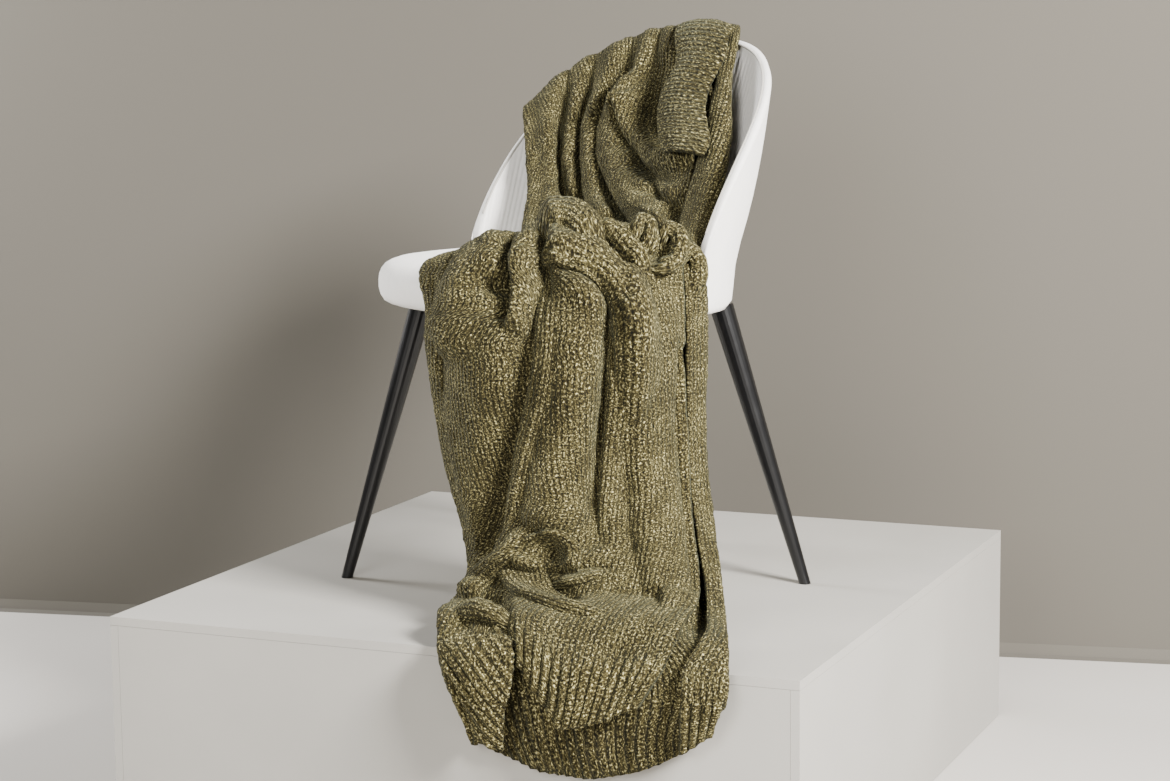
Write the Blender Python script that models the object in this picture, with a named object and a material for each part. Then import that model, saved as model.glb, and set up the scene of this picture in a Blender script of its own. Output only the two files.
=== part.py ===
"""Chenille bedspread draped over an upholstered chair that stands on a square plinth.

Row frame: X along the plinth's front edge to the right, Y to its back, Z up; origin at the centre of
the plinth's underside. The drape frame used for the cloth: a runs across the cloth, d runs outward over
the front of the seat, z counts up from the plinth's top; its origin is under the chair's middle.
"""
import math

import bmesh
import bpy
import numpy as np

# ---- plinth (metres) ----
PLINTH_SIDE = 1.000
PLINTH_HEIGHT = 0.300
BOARD = 0.012
JOINT = 0.0004

# ---- chair ----
CHAIR_AT = (0.011, -0.068)
CHAIR_BACK_DEG = 61.6
SEAT_HALF_WIDTH = 0.236
SEAT_FRONT = -0.243
SEAT_BACK = 0.152
SEAT_BOTTOM = 0.406
SEAT_TOP = 0.469
SEAT_CROWN = 0.010
RIM_HALF_WIDTH = 0.255
RIM_DEPTH = 0.136
RIM_FORWARD = 0.019
RIM_LEAN = 0.347
RIM_TOP = 0.773
RIM_END = 0.478
RIM_POWER = 0.505
SHELL_BOTTOM = 0.406
LEG_TOP_RADIUS = 0.215
LEG_FOOT_RADIUS = 0.335
LEG_TOP_DIAMETER = 0.036
LEG_FOOT_DIAMETER = 0.017

# ---- cloth ----
CLOTH_THICKNESS = 0.005
DRAPE_DEG = 23.0
FINEST_FOLD = 0.011
FRONT_SHORTER = 0.060
PRESSED_AT_RIM = 0.40

# Sections down the cloth's length: s along the length, the left and right outline, then the distance out
# and the height of the front layer at its left, middle and right, and how far the back layer lies behind.
SECTIONS = [
    # name,            s,     left,   right,  out l,  out m,  out r,  z l,   z m,   z r,   gap
    ("end hem",        0.00,  -0.050, 0.212, -0.350, -0.350, -0.240, 0.430, 0.530, 0.560, 0.014),
    ("behind the rim", 0.17,  -0.060, 0.236, -0.325, -0.323, -0.228, 0.610, 0.684, 0.714, 0.010),
    ("rim",            0.24,  -0.066, 0.246, -0.268, -0.266, -0.117, 0.682, 0.788, 0.803, 0.010),
    ("inside the rim", 0.31,  -0.060, 0.220, -0.211, -0.188, -0.036, 0.632, 0.704, 0.736, 0.016),
    ("backrest",       0.42,  -0.048, 0.196, -0.158, -0.124, 0.044, 0.562, 0.612, 0.640, 0.028),
    ("backrest foot",  0.54,  -0.058, 0.170, -0.100, -0.055, 0.110, 0.512, 0.526, 0.540, 0.026),
    ("seat",           0.68,  -0.156, 0.158, 0.020, 0.090, 0.160, 0.505, 0.519, 0.512, 0.021),
    ("seat edge",      0.83,  -0.196, 0.174, 0.169, 0.265, 0.229, 0.484, 0.524, 0.498, 0.016),
    ("below the edge", 0.92,  -0.191, 0.178, 0.198, 0.334, 0.253, 0.420, 0.430, 0.426, 0.020),
    ("curtain",        1.13,  -0.174, 0.176, 0.195, 0.342, 0.252, 0.245, 0.235, 0.240, 0.030),
    ("foot",           1.33,  -0.138, 0.190, 0.265, 0.412, 0.340, 0.062, 0.058, 0.052, 0.026),
    ("plinth top",     1.42,  -0.156, 0.190, 0.320, 0.435, 0.432, 0.041, 0.041, 0.039, 0.020),
    ("plinth edge",    1.50,  -0.172, 0.187, 0.390, 0.472, 0.550, 0.042, 0.042, 0.040, 0.016),
    ("over the edge",  1.55,  -0.167, 0.182, 0.431, 0.511, 0.587, -0.003, -0.003, -0.003, 0.018),
    ("hem",            1.68,  -0.122, 0.162, 0.450, 0.514, 0.578, -0.120, -0.148, -0.078, 0.018),
]

# Front layer's own outline on the sections above: where its free edge lies, and where the strip folded back
# from the right ends.
OPENING = [
    # name,            s,     edge,  strip
    ("end hem",        0.00,  0.170, 0.195),
    ("rim",            0.24,  0.230, 0.236),
    ("inside the rim", 0.31,  0.211, 0.215),
    ("backrest",       0.42,  0.184, 0.190),
    ("backrest foot",  0.54,  0.148, 0.160),
    ("seat",           0.68,  0.138, 0.148),
    ("below the edge", 0.92,  0.148, 0.158),
    ("curtain",        1.13,  0.150, 0.160),
    ("foot",           1.33,  0.166, 0.176),
    ("plinth edge",    1.50,  0.138, 0.156),
    ("hem",            1.68,  0.105, 0.132),
]

# Folds of the front layer. Each row: name, height out (minus is a valley), half width on the left and on
# the right, sideways lean of the crest, then the places it passes through as (across, along) pairs.
FOLDS = [
    ("outer roll on the back", 0.031, 0.014, 0.012, 0.0, [(-0.030, 0.250), (-0.044, 0.290), (-0.048, 0.385), (-0.038, 0.500)]),
    ("gap beside it", -0.039, 0.006, 0.007, 0.0, [(0.002, 0.230), (-0.008, 0.295), (-0.020, 0.365), (-0.020, 0.455), (-0.014, 0.540)]),
    ("narrow fold", 0.023, 0.007, 0.006, 0.0, [(0.016, 0.240), (0.004, 0.300), (-0.004, 0.370), (0.004, 0.450)]),
    ("second gap", -0.031, 0.005, 0.005, 0.0, [(0.032, 0.230), (0.022, 0.290), (0.012, 0.345), (0.008, 0.400), (0.014, 0.475), (0.026, 0.560)]),
    ("long fold", 0.031, 0.009, 0.007, 0.2, [(0.052, 0.250), (0.034, 0.300), (0.024, 0.350), (0.020, 0.405), (0.032, 0.475), (0.052, 0.560)]),
    ("groove beside it", -0.018, 0.004, 0.004, 0.0, [(0.066, 0.270), (0.048, 0.320), (0.042, 0.360), (0.036, 0.405), (0.042, 0.460), (0.064, 0.515), (0.090, 0.560)]),
    ("swag", 0.036, 0.014, 0.016, 0.0, [(0.084, 0.290), (0.060, 0.345), (0.048, 0.395), (0.062, 0.455), (0.090, 0.510), (0.124, 0.560)]),
    ("swag at the rim", 0.021, 0.010, 0.010, 0.0, [(0.104, 0.240), (0.086, 0.305), (0.078, 0.345)]),
    ("dip in the swag", -0.010, 0.006, 0.010, 0.0, [(0.088, 0.360), (0.100, 0.415), (0.112, 0.470), (0.130, 0.510)]),
    ("low swag", 0.023, 0.010, 0.010, 0.0, [(0.086, 0.370), (0.106, 0.420), (0.128, 0.455), (0.152, 0.440), (0.166, 0.420)]),
    ("hollow beside the flap", -0.042, 0.012, 0.006, 0.0, [(0.144, 0.295), (0.132, 0.330), (0.124, 0.375), (0.128, 0.425)]),
    ("turned-over end", 0.044, 0.010, 0.012, 0.0, [(0.148, 0.240), (0.146, 0.295), (0.152, 0.335), (0.154, 0.380), (0.152, 0.415)]),
    ("hollow under it", -0.031, 0.016, 0.014, 0.0, [(0.172, 0.460), (0.164, 0.500), (0.152, 0.545)]),
    ("groove right of it", -0.018, 0.006, 0.005, 0.0, [(0.212, 0.285), (0.204, 0.330), (0.196, 0.380), (0.184, 0.415)]),
    ("seat bunch, upper roll", 0.040, 0.014, 0.014, 0.0, [(-0.046, 0.770), (-0.030, 0.740), (0.000, 0.735), (0.024, 0.755)]),
    ("seat bunch, long roll", 0.042, 0.012, 0.010, 0.0, [(-0.044, 0.800), (-0.020, 0.835), (0.024, 0.855), (0.044, 0.880), (0.058, 0.915), (0.056, 0.945)]),
    ("left hump", 0.024, 0.018, 0.018, 0.0, [(-0.190, 0.850), (-0.168, 0.815), (-0.130, 0.795), (-0.092, 0.795), (-0.058, 0.800)]),
    ("pinch in the hump", -0.021, 0.005, 0.004, 0.0, [(-0.084, 0.805), (-0.084, 0.840), (-0.096, 0.855), (-0.108, 0.855)]),
    ("pinch tail", -0.013, 0.006, 0.004, 0.0, [(-0.084, 0.850), (-0.088, 0.890)]),
    ("behind the bunch", -0.016, 0.020, 0.020, 0.0, [(-0.050, 0.640), (0.020, 0.640), (0.100, 0.650)]),
    ("first valley", -0.050, 0.014, 0.008, 0.0, [(-0.034, 0.850), (-0.036, 0.905), (-0.044, 0.975), (-0.070, 1.120), (-0.084, 1.195), (-0.100, 1.260)]),
    ("left pleat", 0.026, 0.030, 0.030, 0.0, [(-0.138, 0.900), (-0.136, 1.060), (-0.130, 1.180), (-0.124, 1.230)]),
    ("middle pleat", 0.031, 0.016, 0.020, 0.0, [(-0.012, 0.870), (-0.008, 0.970), (-0.024, 1.115), (-0.040, 1.205)]),
    ("second valley", -0.031, 0.010, 0.008, 0.0, [(0.056, 0.940), (0.058, 0.965), (0.044, 1.095), (0.032, 1.205)]),
    ("middle puff", 0.016, 0.010, 0.008, 0.0, [(-0.020, 0.850), (0.016, 0.860), (0.040, 0.875)]),
    ("right pleat", 0.023, 0.010, 0.012, 0.0, [(0.098, 0.895), (0.096, 1.050), (0.100, 1.185), (0.108, 1.255)]),
    ("shallow line", -0.007, 0.006, 0.006, 0.0, [(0.072, 0.950), (0.080, 1.070), (0.080, 1.180)]),
    ("dip by the opening", -0.013, 0.007, 0.005, 0.0, [(0.142, 0.870), (0.142, 0.985), (0.146, 1.095), (0.156, 1.195), (0.164, 1.265)]),
    ("knot, left loop", 0.036, 0.009, 0.009, 0.0, [(0.042, 0.790), (0.058, 0.770), (0.076, 0.790)]),
    ("knot, middle loop", 0.042, 0.009, 0.009, 0.0, [(0.092, 0.790), (0.102, 0.760), (0.120, 0.780), (0.118, 0.825)]),
    ("knot, right loop", 0.026, 0.007, 0.007, 0.0, [(0.136, 0.790), (0.150, 0.800), (0.144, 0.830)]),
    ("knot, left hole", -0.023, 0.005, 0.005, 0.0, [(0.082, 0.805), (0.084, 0.840)]),
    ("knot, right hole", -0.029, 0.005, 0.005, 0.0, [(0.124, 0.845), (0.132, 0.850)]),
    ("left dark edge", -0.018, 0.008, 0.006, 0.0, [(-0.182, 0.880), (-0.176, 0.955), (-0.176, 1.045)]),
    ("pocket roof", 0.023, 0.006, 0.006, 0.0, [(-0.056, 1.235), (-0.044, 1.220), (-0.028, 1.225)]),
    ("pocket", -0.044, 0.007, 0.007, 0.0, [(-0.030, 1.235), (-0.028, 1.238)]),
    ("crease beside the pocket", -0.016, 0.004, 0.004, 0.0, [(-0.022, 1.260), (0.004, 1.250), (0.024, 1.245), (0.042, 1.250)]),
    ("tongue above the crease", 0.021, 0.010, 0.010, 0.0, [(-0.022, 1.248), (0.008, 1.235), (0.036, 1.235)]),
    ("slanting crease", -0.016, 0.006, 0.005, 0.0, [(-0.058, 1.270), (-0.040, 1.295), (-0.016, 1.325)]),
    ("left buckle", 0.042, 0.010, 0.008, 0.0, [(-0.112, 1.260), (-0.138, 1.285), (-0.148, 1.315), (-0.150, 1.350)]),
    ("crease under it", -0.021, 0.004, 0.004, 0.0, [(-0.154, 1.385), (-0.128, 1.365), (-0.100, 1.355)]),
    ("small hole", -0.029, 0.005, 0.006, 0.0, [(-0.116, 1.355), (-0.100, 1.345)]),
    ("left roll on the plinth", 0.039, 0.012, 0.012, 0.0, [(-0.152, 1.420), (-0.128, 1.405), (-0.100, 1.400)]),
    ("left hole", -0.023, 0.005, 0.005, 0.0, [(-0.148, 1.460), (-0.140, 1.460)]),
    ("swell on the plinth", 0.044, 0.024, 0.024, 0.0, [(-0.068, 1.395), (-0.020, 1.375), (0.036, 1.370), (0.102, 1.385), (0.156, 1.400)]),
    ("split between the hems", -0.030, 0.006, 0.006, 0.0, [(-0.086, 1.500), (-0.076, 1.540), (-0.080, 1.590), (-0.082, 1.660)]),
    ("front hem", 0.018, 0.020, 0.020, 0.0, [(-0.032, 1.510), (-0.006, 1.570), (0.020, 1.610)]),
    ("edge of the front hem", -0.021, 0.004, 0.006, 0.0, [(0.156, 1.475), (0.136, 1.510), (0.116, 1.550), (0.102, 1.595)]),
]


def smooth(keys, values, at):
    """Smooth curve through the table's values."""
    keys, values, at = (np.asarray(x, float) for x in (keys, values, at))
    step = np.diff(keys)
    slope = np.diff(values, axis=0) / step[:, None]
    tangent = np.empty_like(values)
    tangent[1:-1] = (slope[:-1] * step[1:, None] + slope[1:] * step[:-1, None]) / (step[:-1] + step[1:])[:, None]
    tangent[0], tangent[-1] = slope[0], slope[-1]
    i = np.clip(np.searchsorted(keys, at) - 1, 0, len(keys) - 2)
    h = step[i][..., None]
    x = (at - keys[i])[..., None] / h
    return ((1 + 2 * x) * (1 - x) ** 2 * values[i] + x * (1 - x) ** 2 * h * tangent[i]
            + x * x * (3 - 2 * x) * values[i + 1] + x * x * (x - 1) * h * tangent[i + 1])


def base(a, s):
    """Middle of the front layer before folding: across a, along s -> point in the drape frame."""
    v = smooth([r[1] for r in SECTIONS], [r[2:] for r in SECTIONS], s)
    f = (a - v[..., 0]) / (v[..., 1] - v[..., 0])
    q = (1 - f) * (1 - 2 * f), 4 * f * (1 - f), f * (2 * f - 1)
    d = v[..., 2] * q[0] + v[..., 3] * q[1] + v[..., 4] * q[2]
    z = v[..., 5] * q[0] + v[..., 6] * q[1] + v[..., 7] * q[2]
    return np.stack([a, d, z], -1)


def folds(a, s):
    """Height out and sideways and lengthwise lean that the fold table gives at each point."""
    high, side, down = np.zeros_like(a), np.zeros_like(a), np.zeros_like(a)
    for name, height, left, right, lean, path in FOLDS:
        best = np.full_like(a, 1e9)
        off, nx, ny = np.zeros_like(a), np.zeros_like(a), np.zeros_like(a)
        for (a0, s0), (a1, s1) in zip(path, path[1:]):
            ta, ts = a1 - a0, s1 - s0
            length = math.hypot(ta, ts)
            t = np.clip(((a - a0) * ta + (s - s0) * ts) / length ** 2, 0, 1)
            ra, rs = a - a0 - ta * t, s - s0 - ts * t
            away = np.hypot(ra, rs)
            near = away < best
            best = np.where(near, away, best)
            off = np.where(near, ra * ts - rs * ta, off)
            nx, ny = np.where(near, ts / length, nx), np.where(near, -ta / length, ny)
        width = np.maximum(np.where(off > 0, right, left), FINEST_FOLD)
        bump = height * np.exp(-(best / width) ** 2) * min(1.0, max(left, right) / FINEST_FOLD + 0.40)
        high += bump
        side += lean * bump * nx
        down += lean * bump * ny
    press = 1 - (1 - PRESSED_AT_RIM) * np.exp(-((s - 0.235) / 0.05) ** 2)
    return high * press, side * press, down * press


def across(t, s):
    """Cloth's middle surface: t from the free front edge round to the strip's edge, s along the length."""
    v = smooth([r[1] for r in SECTIONS], [r[2:] for r in SECTIONS], s)
    left, right, gap = v[..., 0], v[..., 1], v[..., 8]
    free = smooth([r[1] for r in OPENING], [r[2:] for r in OPENING], s)
    edge, strip = free[..., 0], free[..., 1]
    turn = gap / 2
    a = np.empty_like(s)
    out = np.empty_like(s)
    front, fold_l, back, fold_r = t < 0.56, (t >= 0.56) & (t < 0.60), (t >= 0.60) & (t < 0.93), (t >= 0.93) & (t < 0.97)
    last = t >= 0.97
    k = t / 0.56
    a[front] = (edge + (left - edge) * k)[front]
    out[front] = 0.0
    k = (t - 0.56) / 0.04 * math.pi
    a[fold_l] = (left - turn * np.sin(k))[fold_l]
    out[fold_l] = (-turn + turn * np.cos(k))[fold_l]
    k = (t - 0.60) / 0.33
    a[back] = (left + (right - left) * k)[back]
    out[back] = -gap[back]
    k = (t - 0.93) / 0.04 * math.pi
    a[fold_r] = (right + turn * np.sin(k))[fold_r]
    out[fold_r] = (-turn - turn * np.cos(k))[fold_r]
    k = (t - 0.97) / 0.03
    a[last] = (right + (strip - right) * k)[last]
    out[last] = 0.0
    high, side, down = folds(a, s)
    low = gap - 0.0065
    high = np.where(high < 0, -low * np.tanh(-high / low), high)
    on = np.clip((a - left) / 0.032, 0, 1) * front
    on = on * on * (3 - 2 * on)
    along = s - FRONT_SHORTER * np.clip((s - 1.30) / 0.38, 0, 1) * np.clip((a + 0.085) / 0.02, 0, 1) * front
    e = 0.003
    p = base(a + side * on, along + down * on)
    pa = base(a + e, along) - base(a - e, along)
    ps = base(a, np.minimum(along + e, SECTIONS[-1][1])) - base(a, np.maximum(along - e, 0.0))
    n = np.cross(pa, ps)
    n /= np.linalg.norm(n, axis=-1, keepdims=True)
    ripple = 0.003 * np.sin(a * 95.0) * np.clip((s - 1.50) / 0.12, 0, 1) * back
    return p + n * (out + high * on + ripple)[..., None]


def even(section, columns, weights):
    """Places columns along a section, closer together where weights are high."""
    step = np.linalg.norm(np.diff(section, axis=0), axis=1) * weights
    run = np.concatenate([[0.0], np.cumsum(step)])
    at = np.linspace(0, run[-1], columns)
    return np.stack([np.interp(at, run, section[:, i]) for i in range(3)], -1)


def to_row(p):
    """Drape frame -> row frame."""
    c, s = math.cos(math.radians(DRAPE_DEG)), math.sin(math.radians(DRAPE_DEG))
    x = CHAIR_AT[0] + p[..., 0] * c + p[..., 1] * s
    y = CHAIR_AT[1] + p[..., 0] * s - p[..., 1] * c
    return np.stack([x, y, p[..., 2] + PLINTH_HEIGHT], -1)


def cloth_grid(rows, columns):
    t = np.linspace(0, 1, 700)
    mid = (t[1:] + t[:-1]) / 2
    weights = np.where(mid < 0.55, 1.0, np.where(mid < 0.61, 2.0, np.where(mid < 0.92, 0.5, 1.6)))
    grid = []
    for s in rows:
        grid.append(even(across(t, np.full_like(t, s)), columns, weights))
    return to_row(np.array(grid))


def relax(grid, passes):
    """Evens out kinks: every point moves toward its neighbours along both directions."""
    for _ in range(passes):
        for axis in (0, 1):
            g = np.moveaxis(grid, axis, 0).copy()
            g[1:-1] = 0.58 * g[1:-1] + 0.21 * (g[:-2] + g[2:])
            grid = np.moveaxis(g, 0, axis)
    return grid


def thicken(grid, thickness):
    """Closed solid round a grid of middle points: vertices and faces."""
    rows, columns = grid.shape[:2]
    n = np.cross(np.gradient(grid, axis=0), np.gradient(grid, axis=1))
    n /= np.linalg.norm(n, axis=-1, keepdims=True) + 1e-12
    points = np.concatenate([(grid + n * thickness / 2).reshape(-1, 3), (grid - n * thickness / 2).reshape(-1, 3)])
    far = rows * columns
    faces = []
    for i in range(rows - 1):
        for j in range(columns - 1):
            q = [i * columns + j, (i + 1) * columns + j, (i + 1) * columns + j + 1, i * columns + j + 1]
            faces.append(q)
            faces.append([far + k for k in reversed(q)])
    ring = [j for j in range(columns)] + [i * columns + columns - 1 for i in range(1, rows)]
    ring += [(rows - 1) * columns + j for j in range(columns - 2, -1, -1)] + [i * columns for i in range(rows - 2, 0, -1)]
    for p, q in zip(ring, ring[1:] + ring[:1]):
        faces.append([p, q, far + q, far + p])
    return points, faces


# ==== solids ====
def make(name, points, faces, color, roughness=0.6, metallic=0.0, flat=True):
    mesh = bpy.data.meshes.new(name)
    mesh.from_pydata([tuple(map(float, p)) for p in points], [], faces)
    bm = bmesh.new()
    bm.from_mesh(mesh)
    bmesh.ops.recalc_face_normals(bm, faces=bm.faces)
    bmesh.ops.triangulate(bm, faces=bm.faces)
    bm.to_mesh(mesh)
    bm.free()
    for polygon in mesh.polygons:
        polygon.use_smooth = not flat
    ob = bpy.data.objects.new(name, mesh)
    bpy.context.scene.collection.objects.link(ob)
    material = bpy.data.materials.new(name)
    material.use_nodes = True
    shader = material.node_tree.nodes["Principled BSDF"]
    shader.inputs["Base Color"].default_value = (*color, 1.0)
    shader.inputs["Roughness"].default_value = roughness
    shader.inputs["Metallic"].default_value = metallic
    mesh.materials.append(material)
    return ob


def box(name, low, high, color):
    points = [(x, y, z) for x in (low[0], high[0]) for y in (low[1], high[1]) for z in (low[2], high[2])]
    faces = [(0, 1, 3, 2), (4, 6, 7, 5), (0, 4, 5, 1), (2, 3, 7, 6), (0, 2, 6, 4), (1, 5, 7, 3)]
    return make(name, points, faces, color, 0.55)


def loft(rings, close_ends=True):
    """Faces for stacked closed rings with the same count; the ends are closed with a centre point."""
    count = len(rings[0])
    points = [p for ring in rings for p in ring]
    faces = []
    for i in range(len(rings) - 1):
        for j in range(count):
            k = (j + 1) % count
            faces.append([i * count + j, i * count + k, (i + 1) * count + k, (i + 1) * count + j])
    if close_ends:
        for first in (0, len(rings) - 1):
            middle = len(points)
            points.append(tuple(np.mean(rings[first], axis=0)))
            for j in range(count):
                faces.append([first * count + j, first * count + (j + 1) % count, middle])
    return points, faces


def chair_point(u, v, z):
    """u to the chair's right, v to its back, z from the plinth's top -> row frame."""
    r = math.radians(CHAIR_BACK_DEG)
    x = CHAIR_AT[0] + u * math.sin(r) + v * math.cos(r)
    y = CHAIR_AT[1] - u * math.cos(r) + v * math.sin(r)
    return (x, y, z + PLINTH_HEIGHT)


def power(x, p):
    return math.copysign(abs(x) ** p, x)


def seat():
    middle, half = (SEAT_FRONT + SEAT_BACK) / 2, (SEAT_BACK - SEAT_FRONT) / 2
    profile = [  # inset, height
        (0.060, SEAT_BOTTOM), (0.026, SEAT_BOTTOM), (0.008, SEAT_BOTTOM + 0.010), (0.001, SEAT_BOTTOM + 0.024),
        (0.000, SEAT_BOTTOM + 0.040), (0.003, SEAT_TOP - 0.020), (0.012, SEAT_TOP - 0.008), (0.030, SEAT_TOP),
        (0.070, SEAT_TOP + 0.5 * SEAT_CROWN), (0.130, SEAT_TOP + 0.9 * SEAT_CROWN),
    ]
    rings = []
    for inset, z in profile:
        ring = []
        for k in range(56):
            g = 2 * math.pi * k / 56
            n = 2 / 2.3 if math.sin(g) > 0 else 2 / 3.0
            u = (SEAT_HALF_WIDTH - inset) * power(math.cos(g), n)
            v = middle + (half - inset) * power(math.sin(g), n)
            ring.append(chair_point(u, v, z))
        rings.append(ring)
    return make("seat", *loft(rings), (0.78, 0.75, 0.69), 0.85, flat=False)


def rim_height(g):
    return RIM_END + (RIM_TOP - RIM_END) * abs(math.cos(g)) ** RIM_POWER


def shell():
    rings = []
    for k in range(45):
        g = math.radians(-90 + 4 * k)
        g = max(min(g, math.radians(89.9)), math.radians(-89.9))
        top = rim_height(g)
        low_in, low_out = SHELL_BOTTOM + 0.012, SHELL_BOTTOM

        def at(wide, deep, z):
            u = wide * power(math.sin(g), 0.9)
            v = RIM_FORWARD + deep * math.cos(g) + RIM_LEAN * max(z - RIM_END, 0.0)
            return chair_point(u, v, z)

        ring = []
        for h in (0.0, 0.25, 0.5, 0.75, 1.0):
            ring.append(at(0.2385 + 0.0165 * h, 0.139 - 0.003 * h, low_in + (top - low_in) * h))
        ring.append(at(0.260, 0.141, top + 0.0055))
        for h in (1.0, 0.8, 0.55, 0.3, 0.1):
            deep = 0.150 + 0.030 * math.sin(math.pi * min(1.0, (1 - h) * 0.9)) + 0.008 * (1 - h)
            ring.append(at(0.257 + 0.010 * h, deep, low_out + (top - low_out) * h))
        ring.append(at(0.247, 0.152, low_out))
        rings.append(ring)
    return make("chair_shell", *loft(rings), (0.78, 0.75, 0.69), 0.85, flat=False)


def leg(name, degrees):
    r = math.radians(degrees)
    dx, dy = math.cos(r), math.sin(r)
    rings = []
    for h in (0.0, 0.33, 0.66, 1.0):
        z = 0.0005 + (SEAT_BOTTOM - 0.0010) * h
        radius = LEG_FOOT_RADIUS + (LEG_TOP_RADIUS - LEG_FOOT_RADIUS) * h
        thick = (LEG_FOOT_DIAMETER + (LEG_TOP_DIAMETER - LEG_FOOT_DIAMETER) * h) / 2
        ring = []
        for k in range(24):
            g = 2 * math.pi * k / 24
            x = CHAIR_AT[0] + radius * dx + thick * math.cos(g)
            y = CHAIR_AT[1] + radius * dy + thick * math.sin(g)
            ring.append((x, y, z + PLINTH_HEIGHT))
        rings.append(ring)
    return make(name, *loft(rings), (0.015, 0.015, 0.016), 0.3, flat=False)


for old in list(bpy.data.objects):
    bpy.data.objects.remove(old)

HALF = PLINTH_SIDE / 2
INNER = HALF - BOARD - JOINT
UNDER_TOP = PLINTH_HEIGHT - BOARD - JOINT
PAINT = (0.62, 0.60, 0.55)
box("plinth_top", (-HALF, -HALF, PLINTH_HEIGHT - BOARD), (HALF, HALF, PLINTH_HEIGHT), PAINT)
box("plinth_left", (-HALF, -HALF, 0.0), (-HALF + BOARD, HALF, UNDER_TOP), PAINT)
box("plinth_right", (HALF - BOARD, -HALF, 0.0), (HALF, HALF, UNDER_TOP), PAINT)
box("plinth_front", (-INNER, -HALF, 0.0), (INNER, -HALF + BOARD, UNDER_TOP), PAINT)
box("plinth_back", (-INNER, HALF - BOARD, 0.0), (INNER, HALF, UNDER_TOP), PAINT)
box("plinth_base", (-INNER, -INNER, 0.0), (INNER, INNER, BOARD), PAINT)

seat()
shell()
for name, turn in (("leg_back", 45), ("leg_left", 135), ("leg_front", 225), ("leg_right", -45)):
    leg(name, CHAIR_BACK_DEG + turn)

CLOTH_ROWS = np.concatenate([
    np.linspace(0.00, 0.18, 6)[:-1], np.linspace(0.18, 0.30, 7)[:-1], np.linspace(0.30, 0.56, 9)[:-1],
    np.linspace(0.56, 0.96, 15)[:-1],
    np.linspace(0.96, 1.20, 6)[:-1], np.linspace(1.20, 1.46, 9)[:-1], np.linspace(1.46, 1.68, 8),
])
grid = relax(cloth_grid(CLOTH_ROWS, 46), 1)
points, faces = thicken(grid, CLOTH_THICKNESS)
make("blanket", points, faces, (0.24, 0.22, 0.13), 0.95, flat=False)
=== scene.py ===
import math

import bmesh
import bpy
import numpy as np
from mathutils import Matrix, Vector


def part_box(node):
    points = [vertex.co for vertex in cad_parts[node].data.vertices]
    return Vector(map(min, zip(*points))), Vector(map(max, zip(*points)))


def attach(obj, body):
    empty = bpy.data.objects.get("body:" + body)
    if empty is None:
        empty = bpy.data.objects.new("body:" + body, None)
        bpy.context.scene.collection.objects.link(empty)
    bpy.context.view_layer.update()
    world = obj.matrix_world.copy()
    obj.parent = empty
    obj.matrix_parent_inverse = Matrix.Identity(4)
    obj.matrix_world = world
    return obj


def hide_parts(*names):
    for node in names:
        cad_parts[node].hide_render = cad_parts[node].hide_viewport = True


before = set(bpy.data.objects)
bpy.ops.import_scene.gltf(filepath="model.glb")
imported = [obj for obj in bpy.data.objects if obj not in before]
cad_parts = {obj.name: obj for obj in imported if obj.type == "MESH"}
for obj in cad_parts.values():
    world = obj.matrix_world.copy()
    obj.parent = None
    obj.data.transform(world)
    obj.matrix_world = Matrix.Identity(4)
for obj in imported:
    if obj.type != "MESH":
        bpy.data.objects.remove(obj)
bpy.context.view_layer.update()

# ---- Camera, lights and studio ----
# A standing viewer's eye, a little above the chair's back, looks down at the plinth's front right corner.
# One large soft light stands to the right, a weak one fills the left, and a third edges the legs.
# The eye's place and direction were fitted by another program.
def add(name, data):
    """Makes an object of that name and puts it in the scene."""
    made = bpy.data.objects.new(name, data)
    bpy.context.scene.collection.objects.link(made)
    return made


eye = add("camera", bpy.data.cameras.new("camera"))
eye.data.lens = 81.0
eye.data.sensor_width = 36.0
eye.data.clip_end = 60.0
eye_right = (0.9202, 0.3913, -0.0112)
eye_up = (-0.0466, 0.1379, 0.9894)
eye_ahead = (-0.3887, 0.9099, -0.1451)
eye_at = (1.5007, -3.5058, 1.1283)
eye_rows = [[eye_right[i], eye_up[i], -eye_ahead[i], eye_at[i]] for i in range(3)]
eye.matrix_world = Matrix(eye_rows + [[0, 0, 0, 1]])
bpy.context.scene.camera = eye

for lamp_name, lamp_at, lamp_aim, lamp_size, watts, lamp_tint in (
    ("key_light", (2.9, -1.6, 2.4), (0.0, -0.1, 0.6), 0.9, 640.0, (1.0, 0.98, 0.95)),
    ("fill_light", (0.3, -4.0, 1.9), (0.0, 0.0, 0.6), 1.6, 135.0, (1.0, 0.985, 0.96)),
    ("edge_light", (-2.3, 0.15, 1.55), (0.1, -0.35, 0.35), 0.8, 90.0, (1.0, 1.0, 1.0)),
):
    lamp = add(lamp_name, bpy.data.lights.new(lamp_name, "AREA"))
    lamp.data.size = lamp_size
    lamp.data.energy = watts
    lamp.data.color = lamp_tint
    lamp.location = lamp_at
    lamp.rotation_euler = (Vector(lamp_aim) - Vector(lamp_at)).to_track_quat("-Z", "Y").to_euler()

studio = bpy.data.worlds.new("studio")
bpy.context.scene.world = studio
studio.use_nodes = True
studio.node_tree.nodes["Background"].inputs["Color"].default_value = (0.86, 0.84, 0.80, 1.0)
studio.node_tree.nodes["Background"].inputs["Strength"].default_value = 0.10


def adjust(made, **settings):
    """A setting named after one of the node's inputs sets that input, any other sets the node itself."""
    for key, value in settings.items():
        match = [i for i in made.inputs if i.name.lower() == key.replace("_", " ")]
        if match:
            match[0].default_value = value
        else:
            setattr(made, key, value)
    return made


def node(tree, kind, at, **settings):
    """Adds a shader node with its settings."""
    made = tree.nodes.new("ShaderNode" + kind)
    made.location = at
    return adjust(made, **settings)


def blend_colors(made, *stops):
    """Sets a colour ramp; each stop gives its place and its colour."""
    band = made.color_ramp.elements
    band[0].position, band[0].color = stops[0]
    band[1].position, band[1].color = stops[-1]
    for place, color in stops[1:-1]:
        band.new(place).color = color


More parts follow.
